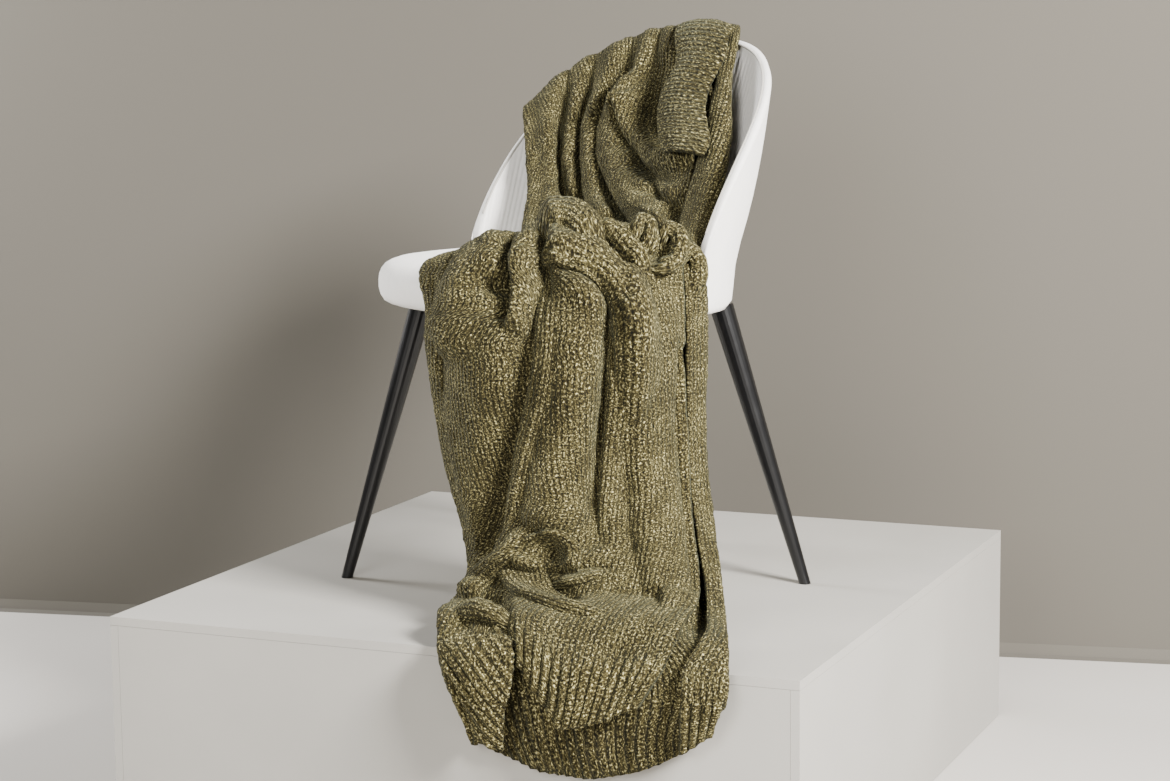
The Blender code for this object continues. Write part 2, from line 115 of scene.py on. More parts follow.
def wire(tree, *joints):
    """Joins nodes; each joint says: from which node, which output of it, to which node, which input of it."""
    for source, out, target, into in joints:
        tree.links.new(source.outputs[out], target.inputs[into])


def plain_material(name, color, roughness):
    material = bpy.data.materials.new(name)
    material.use_nodes = True
    shader = material.node_tree.nodes["Principled BSDF"]
    return material, adjust(shader, base_color=(*color, 1.0), roughness=roughness)


# A white floor and, a step behind the plinth, a grey wall; a small cove joins them. The wall is clear when
# seen from behind, so that the chair's back can be looked at.
WALL_AT_CENTRE, WALL_SLOPE, COVE = 0.822, 0.173, 0.02
floor_paint, _ = plain_material("studio_floor", (0.50, 0.475, 0.44), 0.85)
wall_paint, wall_shader = plain_material("studio_wall", (0.105, 0.096, 0.080), 0.9)
tree = wall_paint.node_tree
side_seen = node(tree, "NewGeometry", (-400, -200))
unseen = node(tree, "BsdfTransparent", (-200, -200))
one_sided = node(tree, "MixShader", (200, 0))
wire(tree, (side_seen, "Backfacing", one_sided, 0), (wall_shader, 0, one_sided, 1), (unseen, 0, one_sided, 2),
     (one_sided, 0, tree.nodes["Material Output"], "Surface"))
for part, paint, profile in (
    ("studio_floor", floor_paint, [(-7.0, -0.001), (-COVE, -0.001)]),
    ("studio_wall", wall_paint, [(-COVE, -0.001), (-0.006, 0.003), (0.0, COVE), (0.0, 5.0)]),
):
    mesh = bpy.data.meshes.new(part)
    corners = [(x, WALL_AT_CENTRE + WALL_SLOPE * x + y, z) for y, z in profile for x in (-6.0, 6.0)]
    faces = [(2 * i, 2 * i + 1, 2 * i + 3, 2 * i + 2) for i in range(len(profile) - 1)]
    mesh.from_pydata(corners, [], faces)
    mesh.materials.append(paint)
    ground = add(part, mesh)

# ---- Plinth boards ----
# Six fibreboard panels, glued edge to edge under a covering top board, rolled with matt warm grey paint.
# The roller leaves a fine orange peel, and the paint is a shade uneven in tone and sheen.
plinth_paint, plinth_shader = plain_material("plinth_paint", (0.35, 0.34, 0.31), 0.62)
tree = plinth_paint.node_tree
place = node(tree, "TexCoord", (-1100, 0))
cloudy = node(tree, "TexNoise", (-850, 160), scale=3.5, detail=4.0, roughness=0.55)
peel = node(tree, "TexNoise", (-850, -160), scale=420.0, detail=3.0, roughness=0.6)
shade = node(tree, "ValToRGB", (-600, 160))
blend_colors(shade, (0.30, (0.330, 0.318, 0.290, 1)), (0.72, (0.372, 0.358, 0.328, 1)))
dull = node(tree, "MapRange", (-600, -60), to_min=0.55, to_max=0.72)
bumps = node(tree, "Bump", (-350, -200), strength=0.12, distance=0.0006)
wire(tree, (place, "Object", cloudy, "Vector"), (place, "Object", peel, "Vector"),
     (cloudy, "Fac", shade, "Fac"), (shade, "Color", plinth_shader, "Base Color"),
     (cloudy, "Fac", dull, "Value"), (dull, "Result", plinth_shader, "Roughness"),
     (peel, "Fac", bumps, "Height"), (bumps, "Normal", plinth_shader, "Normal"))


def coat(pieces, finish):
    """Gives pieces that keep the shape of the CAD model their finish."""
    for piece in pieces:
        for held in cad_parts[piece].material_slots:
            held.material = finish


coat(("plinth_top", "plinth_left", "plinth_right", "plinth_front", "plinth_back", "plinth_base"),
     plinth_paint)

# ---- Legs ----
# Four turned steel tubes that narrow to the foot, powder coated satin black, screwed up into the seat frame.
# The coating is slightly pebbled and catches a long highlight down one side.
leg_coat, leg_shader = plain_material("leg_coat", (0.0025, 0.0025, 0.003), 0.36)
tree = leg_coat.node_tree
place = node(tree, "TexCoord", (-900, 0))
pebble = node(tree, "TexNoise", (-650, 0), scale=900.0, detail=2.0, roughness=0.5)
worn = node(tree, "TexNoise", (-650, 260), scale=24.0, detail=3.0, roughness=0.5)
sheen_spread = node(tree, "MapRange", (-400, 260), to_min=0.24, to_max=0.38)
bumps = node(tree, "Bump", (-400, -120), strength=0.10, distance=0.0003)
wire(tree, (place, "Object", pebble, "Vector"), (place, "Object", worn, "Vector"),
     (worn, "Fac", sheen_spread, "Value"), (sheen_spread, "Result", leg_shader, "Roughness"),
     (pebble, "Fac", bumps, "Height"), (bumps, "Normal", leg_shader, "Normal"))
coat(("leg_back", "leg_left", "leg_front", "leg_right"), leg_coat)

# ---- Seat ----
# A round-cornered foam cushion on a plywood pan, pulled tight in one off-white woven cover.
# The cover is stapled underneath, so the sides bulge softly and the top crowns a little.
PLINTH_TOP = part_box("plinth_top")[1][2]
CHAIR_AT = (0.011, -0.068)
CHAIR_BACK_DEG = 61.6
seat_low, seat_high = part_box("seat")
SEAT_UNDER, SEAT_CROWN_TOP = seat_low[2] - PLINTH_TOP, seat_high[2] - PLINTH_TOP


def chair_point(u, v, z):
    """u to the chair's right, v to its back, z from the plinth's top."""
    turn = math.radians(CHAIR_BACK_DEG)
    return (CHAIR_AT[0] + u * math.sin(turn) + v * math.cos(turn),
            CHAIR_AT[1] - u * math.cos(turn) + v * math.sin(turn),
            z + PLINTH_TOP)


def power(x, p):
    """x to the power p with its sign kept; under 1 it squares a round outline."""
    return math.copysign(abs(x) ** p, x)


def loft(name, rings, material):
    """Smooth skin over stacked closed rings of equal count; each end closes on a middle point."""
    count = len(rings[0])
    corners = [p for ring in rings for p in ring]
    faces = []
    for i in range(len(rings) - 1):
        for j in range(count):
            k = (j + 1) % count
            faces.append([i * count + j, i * count + k, (i + 1) * count + k, (i + 1) * count + j])
    for first in (0, len(rings) - 1):
        middle = len(corners)
        corners.append(tuple(np.mean(rings[first], axis=0)))
        for j in range(count):
            faces.append([first * count + j, first * count + (j + 1) % count, middle])
    mesh = bpy.data.meshes.new(name)
    mesh.from_pydata([tuple(map(float, p)) for p in corners], [], faces)
    bm = bmesh.new()
    bm.from_mesh(mesh)
    bmesh.ops.recalc_face_normals(bm, faces=bm.faces)
    bm.to_mesh(mesh)
    bm.free()
    for face in mesh.polygons:
        face.use_smooth = True
    mesh.materials.append(material)
    return add(name, mesh)


def upholstery(name, color, thread):
    """Off-white woven cover cloth: a fine two-way weave with slubs and a soft sheen."""
    material, shader = plain_material(name, color, 0.9)
    tree = material.node_tree
    adjust(shader, sheen_weight=0.35, sheen_roughness=0.5)
    place = node(tree, "TexCoord", (-1300, 0))
    warp, weft = (node(tree, "TexWave", at, bands_direction=way, scale=1.0 / thread, distortion=1.2,
                       detail=2.0) for at, way in (((-1000, 200), "Z"), ((-1000, -100), "X")))
    slub = node(tree, "TexNoise", (-1000, -400), scale=70.0, detail=5.0, roughness=0.65)
    cross = node(tree, "Math", (-760, 60), operation="MULTIPLY")
    lumpy = node(tree, "Math", (-560, -100), operation="ADD")
    tone = node(tree, "MapRange", (-560, 260), to_min=0.90, to_max=1.04)
    tint = node(tree, "Mix", (-320, 260), data_type="RGBA", blend_type="MULTIPLY")
    tint.inputs[0].default_value = 1.0
    tint.inputs[6].default_value = (*color, 1.0)
    bumps = node(tree, "Bump", (-320, -160), strength=0.35, distance=0.0008)
    wire(tree, (place, "Object", warp, "Vector"), (place, "Object", weft, "Vector"),
         (place, "Object", slub, "Vector"), (warp, "Fac", cross, 0), (weft, "Fac", cross, 1),
         (cross, "Value", lumpy, 0), (slub, "Fac", lumpy, 1),
         (slub, "Fac", tone, "Value"), (tone, "Result", tint, 7), (tint, 2, shader, "Base Color"),
         (lumpy, "Value", bumps, "Height"), (bumps, "Normal", shader, "Normal"))
    return material


cover = upholstery("chair_cover", (0.90, 0.88, 0.84), 0.0011)
SEAT_HALF_WIDTH, SEAT_FRONT, SEAT_BACK = 0.236, -0.243, 0.152
BACK_ROUNDNESS, FRONT_ROUNDNESS = 2 / 2.3, 2 / 3.0
PUCKER_DEPTH, PUCKERS_ROUND, SEAT_POINTS = 0.0007, 23, 180
seat_middle, seat_half = (SEAT_FRONT + SEAT_BACK) / 2, (SEAT_BACK - SEAT_FRONT) / 2
seat_side = [  # inset from the outline, height in parts of the cushion's side
    (0.100, 0.00), (0.040, 0.00), (0.026, 0.01), (0.014, 0.05), (0.006, 0.12), (0.002, 0.22), (0.000, 0.36),
    (0.000, 0.50), (0.001, 0.62), (0.004, 0.73), (0.009, 0.82), (0.016, 0.88), (0.026, 0.93), (0.040, 0.96),
    (0.065, 0.98), (0.095, 0.99), (0.130, 0.995), (0.165, 1.0),
]
seat_rings = []
for inset, up in seat_side:
    ring = []
    for k in range(SEAT_POINTS):
        g = 2 * math.pi * k / SEAT_POINTS
        roundness = BACK_ROUNDNESS if math.sin(g) > 0 else FRONT_ROUNDNESS
        pucker = PUCKER_DEPTH * math.sin(g * PUCKERS_ROUND) * math.exp(-((up - 0.08) / 0.12) ** 2)
        ring.append(chair_point((SEAT_HALF_WIDTH - inset + pucker) * power(math.cos(g), roundness),
                                seat_middle + (seat_half - inset + pucker) * power(math.sin(g), roundness),
                                SEAT_UNDER + (SEAT_CROWN_TOP - SEAT_UNDER) * up))
    seat_rings.append(ring)
seat = loft("seat_cushion", seat_rings, cover)
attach(seat, "root")
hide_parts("seat")

# ---- Back shell ----
# A moulded plywood shell padded with foam: sewn with narrow upright channels inside, smooth outside.
# A grey welt closes the seam that runs round its rim, and the cover is stapled under the seat.
# Another program fitted the chair's turn and most of its rim's line, and placed the feet it stands between.
RIM_FORWARD, RIM_LEAN, RIM_TOP, RIM_END, RIM_POWER, SHELL_BOTTOM = 0.019, 0.347, 0.773, 0.478, 0.505, 0.406
CHANNEL_PITCH, CHANNEL_DEPTH = 0.0095, 0.0016


def shell_point(g, wide, deep, z, proud=0.0):
    """Point of the shell: g round its outline from left to right, with the outline's half width and depth."""
    u = (wide + proud) * power(math.sin(g), 0.9)
    v = RIM_FORWARD + (deep + proud) * math.cos(g) + RIM_LEAN * max(z - RIM_END, 0.0)
    return chair_point(u, v, z)


def rim_height(g):
    """The rim is highest in the middle of the back and runs down to both arms."""
    return RIM_END + (RIM_TOP - RIM_END) * abs(math.cos(g)) ** RIM_POWER


shell_rings = []
for k in range(361):
    g = math.radians(max(-89.9, min(89.9, -90 + 0.5 * k)))
    top = rim_height(g)
    low_in = SHELL_BOTTOM + 0.012
    ring = []
    along_rim = g * 0.20
    channel = abs(math.sin(math.pi * along_rim / CHANNEL_PITCH)) ** 0.6
    for h in (0.0, 0.12, 0.25, 0.37, 0.5, 0.62, 0.75, 0.86, 0.94, 0.985):
        depth = -CHANNEL_DEPTH * channel * min(1.0, (1 - h) * 14)
        z = low_in + (top - low_in) * h
        ring.append(shell_point(g, 0.2385 + 0.0165 * h, 0.139 - 0.003 * h, z, depth))
    for wide, deep, over in ((0.2562, 0.1372, 0.0025), (0.2590, 0.1400, 0.0055), (0.2630, 0.1455, 0.0050)):
        ring.append(shell_point(g, wide, deep, top + over))
    for h in (0.99, 0.95, 0.88, 0.8, 0.7, 0.6, 0.5, 0.4, 0.3, 0.2, 0.1, 0.04):
        deep = 0.150 + 0.030 * math.sin(math.pi * min(1.0, (1 - h) * 0.9)) + 0.008 * (1 - h)
        ring.append(shell_point(g, 0.257 + 0.010 * h, deep, SHELL_BOTTOM + (top - SHELL_BOTTOM) * h))
    ring.append(shell_point(g, 0.252, 0.158, SHELL_BOTTOM + 0.0015))
    ring.append(shell_point(g, 0.247, 0.152, SHELL_BOTTOM))
    shell_rings.append(ring)
shell = loft("back_shell", shell_rings, cover)
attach(shell, "root")
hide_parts("chair_shell")

WELT_RADIUS, WELT_STEPS = 0.0017, 240
welt_cloth = upholstery("welt_cloth", (0.42, 0.40, 0.36), 0.0009)
welt_path = bpy.data.curves.new("rim_welt", "CURVE")
welt_path.dimensions = "3D"
run = welt_path.splines.new("POLY")
run.points.add(WELT_STEPS)
for k in range(WELT_STEPS + 1):
    g = math.radians(-89 + 178 * k / WELT_STEPS)
    run.points[k].co = (*shell_point(g, 0.2556, 0.1366, rim_height(g) + 0.0018, -0.0004), 1.0)
welt_line = add("rim_welt_path", welt_path)
cord_tree = bpy.data.node_groups.new("welt_cord", "GeometryNodeTree")
for label, way, kind in (("Geometry", "INPUT", "Geometry"), ("Cord Radius", "INPUT", "Float"),
                         ("Cloth", "INPUT", "Material"), ("Geometry", "OUTPUT", "Geometry")):
    cord_tree.interface.new_socket(label, in_out=way, socket_type="NodeSocket" + kind)
ins = cord_tree.nodes.new("NodeGroupInput")
outs = cord_tree.nodes.new("NodeGroupOutput")
round_cord = cord_tree.nodes.new("GeometryNodeCurvePrimitiveCircle")
round_cord.inputs["Resolution"].default_value = 12
sweep_cord = cord_tree.nodes.new("GeometryNodeCurveToMesh")
sweep_cord.inputs["Fill Caps"].default_value = True
real_cord = cord_tree.nodes.new("GeometryNodeRealizeInstances")
paint_cord = cord_tree.nodes.new("GeometryNodeSetMaterial")
wire(cord_tree, (ins, "Geometry", sweep_cord, "Curve"), (ins, "Cord Radius", round_cord, "Radius"),
     (round_cord, "Curve", sweep_cord, "Profile Curve"), (sweep_cord, "Mesh", real_cord, 0),
     (real_cord, 0, paint_cord, "Geometry"), (ins, "Cloth", paint_cord, "Material"),
     (paint_cord, "Geometry", outs, "Geometry"))
maker = welt_line.modifiers.new("welt", "NODES")
maker.node_group = cord_tree
for socket in cord_tree.interface.items_tree:
    if socket.name == "Cord Radius":
        maker[socket.identifier] = WELT_RADIUS
    if socket.name == "Cloth":
        maker[socket.identifier] = welt_cloth
bpy.context.view_layer.update()
done = welt_line.evaluated_get(bpy.context.evaluated_depsgraph_get())
welt_mesh = bpy.data.meshes.new_from_object(done)
bpy.data.objects.remove(welt_line)
for face in welt_mesh.polygons:
    face.use_smooth = True
welt = add("rim_welt", welt_mesh)
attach(welt, "root")

# ---- Blanket ----
# One knitted panel of thick chenille yarn, with a deep ribbed hem at both ends and nothing sewn on.
# It is thrown over one side of the chair's back, gathered on the seat, and left to fall over the plinth.
# The tables below hold many places that another program printed, some moved one by one.
DRAPE_DEG = 23.0
CLOTH_THICKNESS, FLAT_WIDTH = 0.005, 0.90
PRESSED_AT_RIM, FEELER = 0.25, 0.003
RIB_DEEP, RIB_PITCH, RIB_SWELL = 0.085, 0.0115, 0.0024
WALE_PITCH, NUB_HEIGHT = 0.0062, 0.00042

# Sections down the cloth's length: s along the length, the left and right outline, then the distance out
# and the height of the front layer at its left, middle and right, and how far the back layer lies behind.
SECTIONS = [
    # name,            s,     left,   right,  out l,  out m,  out r,  z l,   z m,   z r,   gap
    ("end hem",        0.00,  -0.050, 0.212, -0.350, -0.350, -0.240, 0.430, 0.530, 0.560, 0.014),
    ("behind the rim", 0.17,  -0.060, 0.236, -0.325, -0.323, -0.228, 0.610, 0.684, 0.714, 0.010),
    ("rim",            0.24,  -0.066, 0.246, -0.268, -0.266, -0.117, 0.676, 0.774, 0.796, 0.008),
    ("inside the rim", 0.31,  -0.060, 0.220, -0.211, -0.188, -0.033, 0.628, 0.702, 0.734, 0.014),
    ("backrest",       0.42,  -0.048, 0.196, -0.158, -0.124, 0.044, 0.562, 0.612, 0.640, 0.028),
    ("backrest foot",  0.54,  -0.058, 0.170, -0.100, -0.055, 0.110, 0.512, 0.526, 0.540, 0.026),
    ("top of the bunch", 0.715, -0.060, 0.160, 0.090, 0.118, 0.176, 0.507, 0.530, 0.507, 0.017),
    ("top of the hump", 0.785, -0.120, 0.168, 0.150, 0.192, 0.208, 0.497, 0.532, 0.506, 0.013),
    ("seat edge",      0.83,  -0.184, 0.174, 0.171, 0.249, 0.231, 0.488, 0.519, 0.497, 0.015),
    ("below the edge", 0.92,  -0.191, 0.178, 0.193, 0.334, 0.253, 0.418, 0.430, 0.426, 0.020),
    ("curtain",        1.13,  -0.174, 0.176, 0.199, 0.346, 0.256, 0.245, 0.235, 0.240, 0.025),
    ("foot",           1.33,  -0.138, 0.190, 0.268, 0.397, 0.338, 0.076, 0.104, 0.086, 0.018),
    ("plinth top",     1.42,  -0.156, 0.190, 0.316, 0.426, 0.426, 0.046, 0.064, 0.048, 0.020),
    ("plinth edge",    1.50,  -0.172, 0.187, 0.388, 0.474, 0.548, 0.040, 0.036, 0.038, 0.016),
    ("over the edge",  1.55,  -0.167, 0.182, 0.431, 0.511, 0.587, -0.003, -0.003, -0.003, 0.018),
    ("hem",            1.68,  -0.122, 0.162, 0.450, 0.514, 0.578, -0.120, -0.148, -0.078, 0.018),
]

# Front layer's own outline on the sections above: where its free edge lies, and where the strip folded back
# from the right ends.
OPENING = [
    # name,            s,     edge,  strip
    ("end hem",        0.00,  0.196, 0.198),
    ("rim",            0.24,  0.236, 0.238),
    ("inside the rim", 0.31,  0.214, 0.216),
    ("backrest",       0.42,  0.186, 0.190),
    ("backrest foot",  0.54,  0.152, 0.158),
    ("seat",           0.68,  0.146, 0.149),
    ("below the edge", 0.92,  0.152, 0.155),
    ("curtain",        1.13,  0.153, 0.158),
    ("curtain foot",   1.24,  0.157, 0.164),
    ("foot",           1.33,  0.164, 0.173),
    ("plinth top",     1.42,  0.162, 0.174),
    ("plinth edge",    1.49,  0.150, 0.165),
    ("right hem's top", 1.54, 0.136, 0.137),
    ("front corner",   1.58,  0.122, 0.135),
    ("hem",            1.68,  0.082, 0.134),
]

# Folds of the front layer. Each row: name, height out (minus is a valley), half width on the left and on
# the right, then the places it passes through as (across, along) pairs.
FOLDS = [
    # name, height, left, right, path
    ("outer roll on the back", 0.020, 0.018, 0.014, [(-0.006, 0.250), (-0.028, 0.280), (-0.038, 0.314),
        (-0.040, 0.390), (-0.036, 0.500)]),
    ("gap beside it", -0.032, 0.0045, 0.006, [(0.004, 0.235), (-0.010, 0.282), (-0.019, 0.316),
        (-0.019, 0.371), (-0.018, 0.440), (-0.008, 0.504), (0.000, 0.560)]),
    ("gap widens below", -0.030, 0.008, 0.008, [(-0.014, 0.420), (-0.010, 0.470), (-0.002, 0.540)]),
    ("narrow fold", 0.014, 0.008, 0.006, [(0.030, 0.250), (0.015, 0.299), (0.006, 0.351), (0.002, 0.413),
        (0.006, 0.465)]),
    ("second gap", -0.024, 0.0035, 0.0035, [(0.048, 0.240), (0.027, 0.294), (0.015, 0.334),
        (0.013, 0.388), (0.013, 0.452), (0.019, 0.529)]),
    ("long fold", 0.020, 0.01, 0.009, [(0.070, 0.262), (0.051, 0.314), (0.036, 0.356), (0.034, 0.413),
        (0.040, 0.474), (0.049, 0.560)]),
    ("groove beside it", -0.020, 0.0035, 0.004, [(0.074, 0.290), (0.054, 0.326), (0.044, 0.363),
        (0.042, 0.415), (0.051, 0.464), (0.069, 0.511), (0.084, 0.576)]),
    ("swag", 0.026, 0.016, 0.018, [(0.088, 0.330), (0.072, 0.378), (0.068, 0.427), (0.085, 0.477),
        (0.107, 0.536), (0.126, 0.585)]),
    ("first pleat at the rim", 0.008, 0.008, 0.006, [(0.090, 0.240), (0.078, 0.275), (0.073, 0.300)]),
    ("tuck beside it", -0.010, 0.004, 0.004, [(0.102, 0.240), (0.090, 0.275), (0.083, 0.314)]),
    ("second pleat at the rim", 0.016, 0.008, 0.007, [(0.126, 0.250), (0.114, 0.294), (0.103, 0.319),
        (0.094, 0.350)]),
    ("tuck that runs into the swag", -0.018, 0.004, 0.005, [(0.138, 0.250), (0.124, 0.290),
        (0.108, 0.318), (0.092, 0.350), (0.085, 0.371), (0.094, 0.413), (0.111, 0.460), (0.133, 0.509)]),
    ("third pleat at the rim", 0.012, 0.006, 0.006, [(0.152, 0.250), (0.147, 0.279), (0.140, 0.305),
        (0.132, 0.320)]),
    ("middle swag", 0.024, 0.012, 0.012, [(0.098, 0.355), (0.108, 0.400), (0.130, 0.440), (0.156, 0.455),
        (0.176, 0.448)]),
    ("crease under the middle swag", -0.014, 0.004, 0.005, [(0.118, 0.462), (0.139, 0.474),
        (0.164, 0.466), (0.182, 0.452)]),
    ("lowest swag", 0.014, 0.007, 0.008, [(0.122, 0.490), (0.144, 0.504), (0.166, 0.492),
        (0.184, 0.468)]),
    ("cloth over the rim on the right", 0.012, 0.02, 0.016, [(0.206, 0.232), (0.206, 0.285),
        (0.200, 0.320)]),
    ("hollow left of the turned end", -0.036, 0.011, 0.012, [(0.140, 0.300), (0.128, 0.329),
        (0.124, 0.358), (0.130, 0.395), (0.138, 0.420)]),
    ("hollow right of the turned end", -0.020, 0.012, 0.01, [(0.190, 0.350), (0.196, 0.380),
        (0.196, 0.410)]),
    ("dark hollow above the seat", -0.024, 0.012, 0.01, [(0.186, 0.445), (0.168, 0.490), (0.153, 0.539),
        (0.145, 0.590)]),
    ("shadow beside the swags", -0.016, 0.008, 0.008, [(0.150, 0.520), (0.138, 0.560)]),
    ("return fold's groove", -0.016, 0.006, 0.005, [(-0.130, 0.822), (-0.152, 0.848), (-0.166, 0.888),
        (-0.172, 0.975), (-0.172, 1.060)]),
    ("left hump", 0.026, 0.026, 0.024, [(-0.156, 0.940), (-0.138, 0.900), (-0.122, 0.866),
        (-0.098, 0.854), (-0.082, 0.852)]),
    ("left pleat", 0.020, 0.034, 0.044, [(-0.104, 0.909), (-0.106, 0.984), (-0.112, 1.089),
        (-0.122, 1.212), (-0.120, 1.287)]),
    ("pinch in the hump", -0.046, 0.006, 0.005, [(-0.074, 0.832), (-0.073, 0.868), (-0.072, 0.905),
        (-0.073, 0.925)]),
    ("pocket of the pinch", -0.044, 0.008, 0.008, [(-0.076, 0.890), (-0.088, 0.894), (-0.100, 0.892)]),
    ("lobe right of the pinch", 0.022, 0.013, 0.01, [(-0.058, 0.930), (-0.055, 0.890), (-0.051, 0.868),
        (-0.042, 0.852), (-0.036, 0.866)]),
    ("first valley", -0.060, 0.012, 0.005, [(-0.026, 0.846), (-0.026, 0.880), (-0.034, 0.908),
        (-0.041, 0.950), (-0.048, 0.990)]),
    ("upper roll of the bunch", 0.016, 0.016, 0.016, [(-0.026, 0.826), (-0.014, 0.812), (0.002, 0.812),
        (0.016, 0.828), (0.026, 0.842)]),
    ("upper roll's back", 0.010, 0.014, 0.014, [(-0.020, 0.790), (0.004, 0.785), (0.024, 0.800)]),
    ("crease over the long roll", -0.010, 0.0035, 0.0035, [(-0.036, 0.836), (-0.018, 0.841),
        (0.000, 0.848), (0.020, 0.853), (0.031, 0.845)]),
    ("long roll", 0.012, 0.012, 0.016, [(-0.034, 0.850), (-0.010, 0.860), (0.010, 0.868), (0.034, 0.876),
        (0.056, 0.889), (0.068, 0.909), (0.073, 0.936)]),
    ("lower edge of the long roll", -0.026, 0.006, 0.0035, [(-0.024, 0.858), (-0.002, 0.872),
        (0.018, 0.882), (0.038, 0.892), (0.050, 0.908), (0.055, 0.930), (0.057, 0.957), (0.056, 1.000)]),
    ("middle puff", 0.020, 0.01, 0.012, [(-0.012, 0.872), (-0.004, 0.884), (0.014, 0.898),
        (0.030, 0.915)]),
    ("fold beside the long roll", 0.008, 0.01, 0.01, [(0.036, 0.838), (0.056, 0.830), (0.068, 0.844),
        (0.078, 0.860), (0.092, 0.874)]),
    ("crease under it", -0.018, 0.0035, 0.0035, [(0.034, 0.848), (0.048, 0.848), (0.060, 0.860),
        (0.074, 0.874)]),
    ("knot, middle lobe", 0.010, 0.01, 0.01, [(0.082, 0.838), (0.092, 0.822), (0.104, 0.824),
        (0.103, 0.842), (0.092, 0.858)]),
    ("hole left of the lobe", -0.028, 0.004, 0.004, [(0.080, 0.800), (0.079, 0.826), (0.078, 0.838)]),
    ("knot, gap behind", -0.030, 0.004, 0.004, [(0.124, 0.795), (0.114, 0.828), (0.108, 0.845),
        (0.100, 0.858)]),
    ("knot, right loop", 0.008, 0.008, 0.008, [(0.118, 0.835), (0.128, 0.820), (0.137, 0.830),
        (0.136, 0.852), (0.130, 0.866), (0.116, 0.874), (0.104, 0.866)]),
    ("knot, hole", -0.030, 0.0045, 0.0045, [(0.120, 0.845), (0.121, 0.858)]),
    ("right puff", 0.006, 0.01, 0.009, [(0.146, 0.842), (0.156, 0.834), (0.162, 0.846)]),
    ("hollow behind the bunch", -0.012, 0.02, 0.02, [(-0.050, 0.640), (0.020, 0.640), (0.100, 0.650)]),
    ("first valley, lower", -0.060, 0.018, 0.007, [(-0.042, 0.969), (-0.054, 1.038), (-0.070, 1.116),
        (-0.084, 1.209), (-0.108, 1.300)]),
    ("middle pleat", 0.024, 0.018, 0.022, [(0.008, 0.915), (0.008, 0.970), (-0.004, 1.071),
        (-0.016, 1.158), (-0.024, 1.225)]),
    ("second valley", -0.040, 0.012, 0.008, [(0.057, 0.960), (0.050, 1.035), (0.044, 1.095),
        (0.036, 1.206), (0.032, 1.275)]),
    ("right pleat", 0.022, 0.01, 0.036, [(0.074, 0.933), (0.078, 0.969), (0.082, 1.062), (0.092, 1.173),
        (0.102, 1.306), (0.110, 1.380)]),
    ("shallow line", -0.006, 0.005, 0.005, [(0.070, 1.011), (0.076, 1.083), (0.076, 1.167),
        (0.080, 1.293)]),
    ("dip by the opening", -0.012, 0.007, 0.005, [(0.146, 0.978), (0.138, 1.095), (0.144, 1.179),
        (0.150, 1.269), (0.158, 1.381)]),
    ("left dark edge", -0.014, 0.008, 0.006, [(-0.182, 0.880), (-0.176, 0.955), (-0.176, 1.045)]),
    ("pocket", -0.090, 0.012, 0.011, [(-0.040, 1.294), (-0.018, 1.296)]),
    ("crease beside the pocket", -0.016, 0.004, 0.005, [(-0.036, 1.334), (-0.014, 1.345), (0.008, 1.338),
        (0.026, 1.329), (0.046, 1.330)]),
    ("slanting hollow", -0.034, 0.015, 0.012, [(-0.044, 1.356), (-0.026, 1.380), (-0.004, 1.408)]),
    ("crease under the left ridge", -0.018, 0.005, 0.005, [(-0.154, 1.449), (-0.124, 1.436),
        (-0.094, 1.430)]),
    ("small hole", -0.030, 0.008, 0.008, [(-0.114, 1.416), (-0.098, 1.416)]),
    ("left hole", -0.026, 0.008, 0.008, [(-0.154, 1.512), (-0.138, 1.506)]),
    ("split between the hems", -0.030, 0.006, 0.006, [(-0.090, 1.430), (-0.086, 1.498), (-0.078, 1.540),
        (-0.078, 1.590), (-0.080, 1.660)]),
    ("swell on the plinth", 0.012, 0.034, 0.03, [(-0.040, 1.440), (0.020, 1.455), (0.080, 1.455),
        (0.140, 1.450)]),
    ("hollow above the front hem", -0.008, 0.014, 0.014, [(0.100, 1.500), (0.060, 1.520)]),
    ("front hem", 0.012, 0.03, 0.03, [(-0.044, 1.520), (-0.010, 1.560), (0.020, 1.610)]),
]
# How far a crest leans to its right, in parts of its height; the others stand straight.
LEAN = {"outer roll on the back": 0.2, "long fold": 0.2}


def smooth(keys, values, at):
    """Smooth curve through the table's values."""
    keys, values, at = (np.asarray(x, float) for x in (keys, values, at))
    step = np.diff(keys)
    slope = np.diff(values, axis=0) / step[:, None]
    tangent = np.empty_like(values)
    weighed = slope[:-1] * step[1:, None] + slope[1:] * step[:-1, None]
    tangent[1:-1] = weighed / (step[:-1] + step[1:])[:, None]
    tangent[0], tangent[-1] = slope[0], slope[-1]
    i = np.clip(np.searchsorted(keys, at) - 1, 0, len(keys) - 2)
    h = step[i][..., None]
    x = (at - keys[i])[..., None] / h
    return ((1 + 2 * x) * (1 - x) ** 2 * values[i] + x * (1 - x) ** 2 * h * tangent[i]
            + x * x * (3 - 2 * x) * values[i + 1] + x * x * (x - 1) * h * tangent[i + 1])


def read_table(table, s):
    """Values of a named table's columns at s along the cloth."""
    return smooth([row[1] for row in table], [row[2:] for row in table], s)


def hang(a, s):
    """Middle of the front layer before folding: across a, along s -> point in the drape frame."""
    v = read_table(SECTIONS, s)
    f = (a - v[..., 0]) / (v[..., 1] - v[..., 0])
    q = (1 - f) * (1 - 2 * f), 4 * f * (1 - f), f * (2 * f - 1)
    d = v[..., 2] * q[0] + v[..., 3] * q[1] + v[..., 4] * q[2]
    z = v[..., 5] * q[0] + v[..., 6] * q[1] + v[..., 7] * q[2]
    return np.stack([a, d, z], -1)


